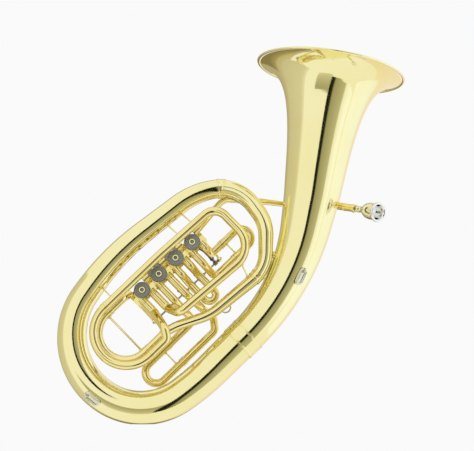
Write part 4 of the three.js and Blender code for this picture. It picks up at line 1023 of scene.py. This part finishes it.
# %% [markdown]
# ## Braces, thumb ring and strap rings
# Braces are short rods with flanges where they meet the tube. The strap rings hang loose in
# their staples, so each ring is its own piece on its own joint.

# %% Braces
oval, bell_spot = main_spots([1640])[0], main_spots([385])[0]
way = (bell_spot - oval) / np.linalg.norm(bell_spot - oval)
left = oval + way * (main_radius(1640) - 0.3) * MM
right = bell_spot - way * (main_radius(385) - 0.3) * MM
brace = [bar(left, right, 3.0, np.asarray), bar(left, left + way * 2.4 * MM, 6.8, np.asarray),
         bar(right - way * 2.4 * MM, right, 6.8, np.asarray)]
dress(build("bell_stay", brace), "horn", TUBING, ["bell_brace"])
pipe_spot, bell_back = at_stations(pipe_points, [0.262])[0], main_spots([262])[0]
way = (pipe_spot - bell_back) / np.linalg.norm(pipe_spot - bell_back)
foot = bell_back + way * (main_radius(262) - 0.3) * MM
brace = [bar(foot, pipe_spot - way * 5.5 * MM, 2.9, np.asarray),
         bar(foot, foot + way * 3 * MM, 7.8, np.asarray)]
dress(build("pipe_stay", brace), "horn", TUBING, ["leadpipe_brace"])


# %% Rings of wire
def wire_loop(points, radius, sides=16):
    """A closed loop of round wire through points that lie in one plane."""
    points = np.asarray(points)
    ahead = np.roll(points, -1, 0) - np.roll(points, 1, 0)
    ahead /= np.linalg.norm(ahead, axis=1)[:, None]
    flat = np.cross(points[0] - points.mean(0), points[len(points) // 4] - points.mean(0))
    flat /= np.linalg.norm(flat)
    out = np.cross(ahead, flat)
    angle = np.arange(sides) * 2 * math.pi / sides
    ring = (np.cos(angle)[None, :, None] * flat + np.sin(angle)[None, :, None] * out[:, None])
    verts = (points[:, None] + ring * radius * MM).reshape(-1, 3)
    count = len(points)
    faces = [(i * sides + k, i * sides + (k + 1) % sides,
              (i + 1) % count * sides + (k + 1) % sides, (i + 1) % count * sides + k)
             for i in range(count) for k in range(sides)]
    return verts, faces


thumb = horn((-10.5, -3, 229.4))
turn = np.linspace(0, 2 * math.pi, 64, endpoint=False)
hoop = thumb + 10 * MM * np.stack([np.cos(turn), 0 * turn, np.sin(turn)], 1)
stalk_top = thumb + np.array([0, 0, 10 * MM])
stalk = bar(stalk_top - [0, 5.2 * MM, 0], stalk_top, 2.1, np.asarray)
dress(build("thumb_loop", [wire_loop(hoop, 1.6), stalk]), "horn", NICKEL,
      ["thumb_ring"])


def strap_ring(name, station, tilt, hang):
    """A plate with a wire staple, and the long ring that hangs in it."""
    centre = main_spots([station])[0]
    along = main_spots([station + 2])[0] - centre
    along /= np.linalg.norm(along)
    off = Matrix.Rotation(tilt, 3, Vector(along)) @ Vector((0, -1, 0))
    off = np.array(off)
    up = along * hang
    side = np.cross(up, off)
    base = centre + off * (main_radius(station - 18) + 1.05) * MM

    def local(point):
        x, y, z = point
        return base + (x * side + y * up + z * off) * MM

    verts, cells = [], []
    half_w, half_l, ring_sides = 7.4, 17.9, 40
    rings = [(0.01, 0.0), (1.0, 0.0), (1.0, 1.2), (0.97, 1.9), (0.9, 2.3), (0.01, 2.4)]
    for share, height in rings:
        for k in range(ring_sides):
            a = k * 2 * math.pi / ring_sides
            c, s = math.cos(a), math.sin(a)
            x = half_w * share * math.copysign(abs(c) ** 0.6, c)
            y = half_l * share * math.copysign(abs(s) ** 0.6, s)
            verts.append(local((x, y, height)))
    for i in range(len(rings) - 1):
        for k in range(ring_sides):
            n = (k + 1) % ring_sides
            cells.append((i * ring_sides + k, i * ring_sides + n,
                          (i + 1) * ring_sides + n, (i + 1) * ring_sides + k))
    staple = rod([(0, 9.1, 1, 0), (0, 9.1, 8.5, 3.6), (0, 16.9, 8.5, 3.6), (0, 16.9, 1, 0)], 1.35,
                 local)
    dress(build(f"{name}_base", [(np.array(verts), cells), staple]), "horn", WARM,
          [f"{name}_plate"])
    loop = bend([(0, 13, 4.6, 0), (6.6, 13, 4.6, 4), (6.6, -15, 4.6, 6), (-6.6, -15, 4.6, 6),
                 (-6.6, 13, 4.6, 4), (0, 13, 4.6, 0)], local, 12)
    dress(build(f"{name}_loop", [wire_loop(loop[:-1], 1.4)]), f"{name}_ring", NICKEL,
          [f"{name}_ring"])


strap_ring("bell_strap", 418, -0.5, -1)
strap_ring("bow_strap", 905, -0.5, 1)
print("pieces made:", len(made), "points:", sum(made.values()))

# %% [markdown]
# ## Measure and finish
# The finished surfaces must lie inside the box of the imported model, so both boxes are
# written down to compare. `build` holds every point inside that box, so a side where the two
# agree exactly was held back and says nothing about how well the curve itself fits.

# %% Sizes
low, high = [list(corner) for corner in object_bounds()]
print("grown by (mm):", np.round((np.array(low) - CAD_LOW) / MM, 2),
      np.round((np.array(high) - CAD_HIGH) / MM, 2))
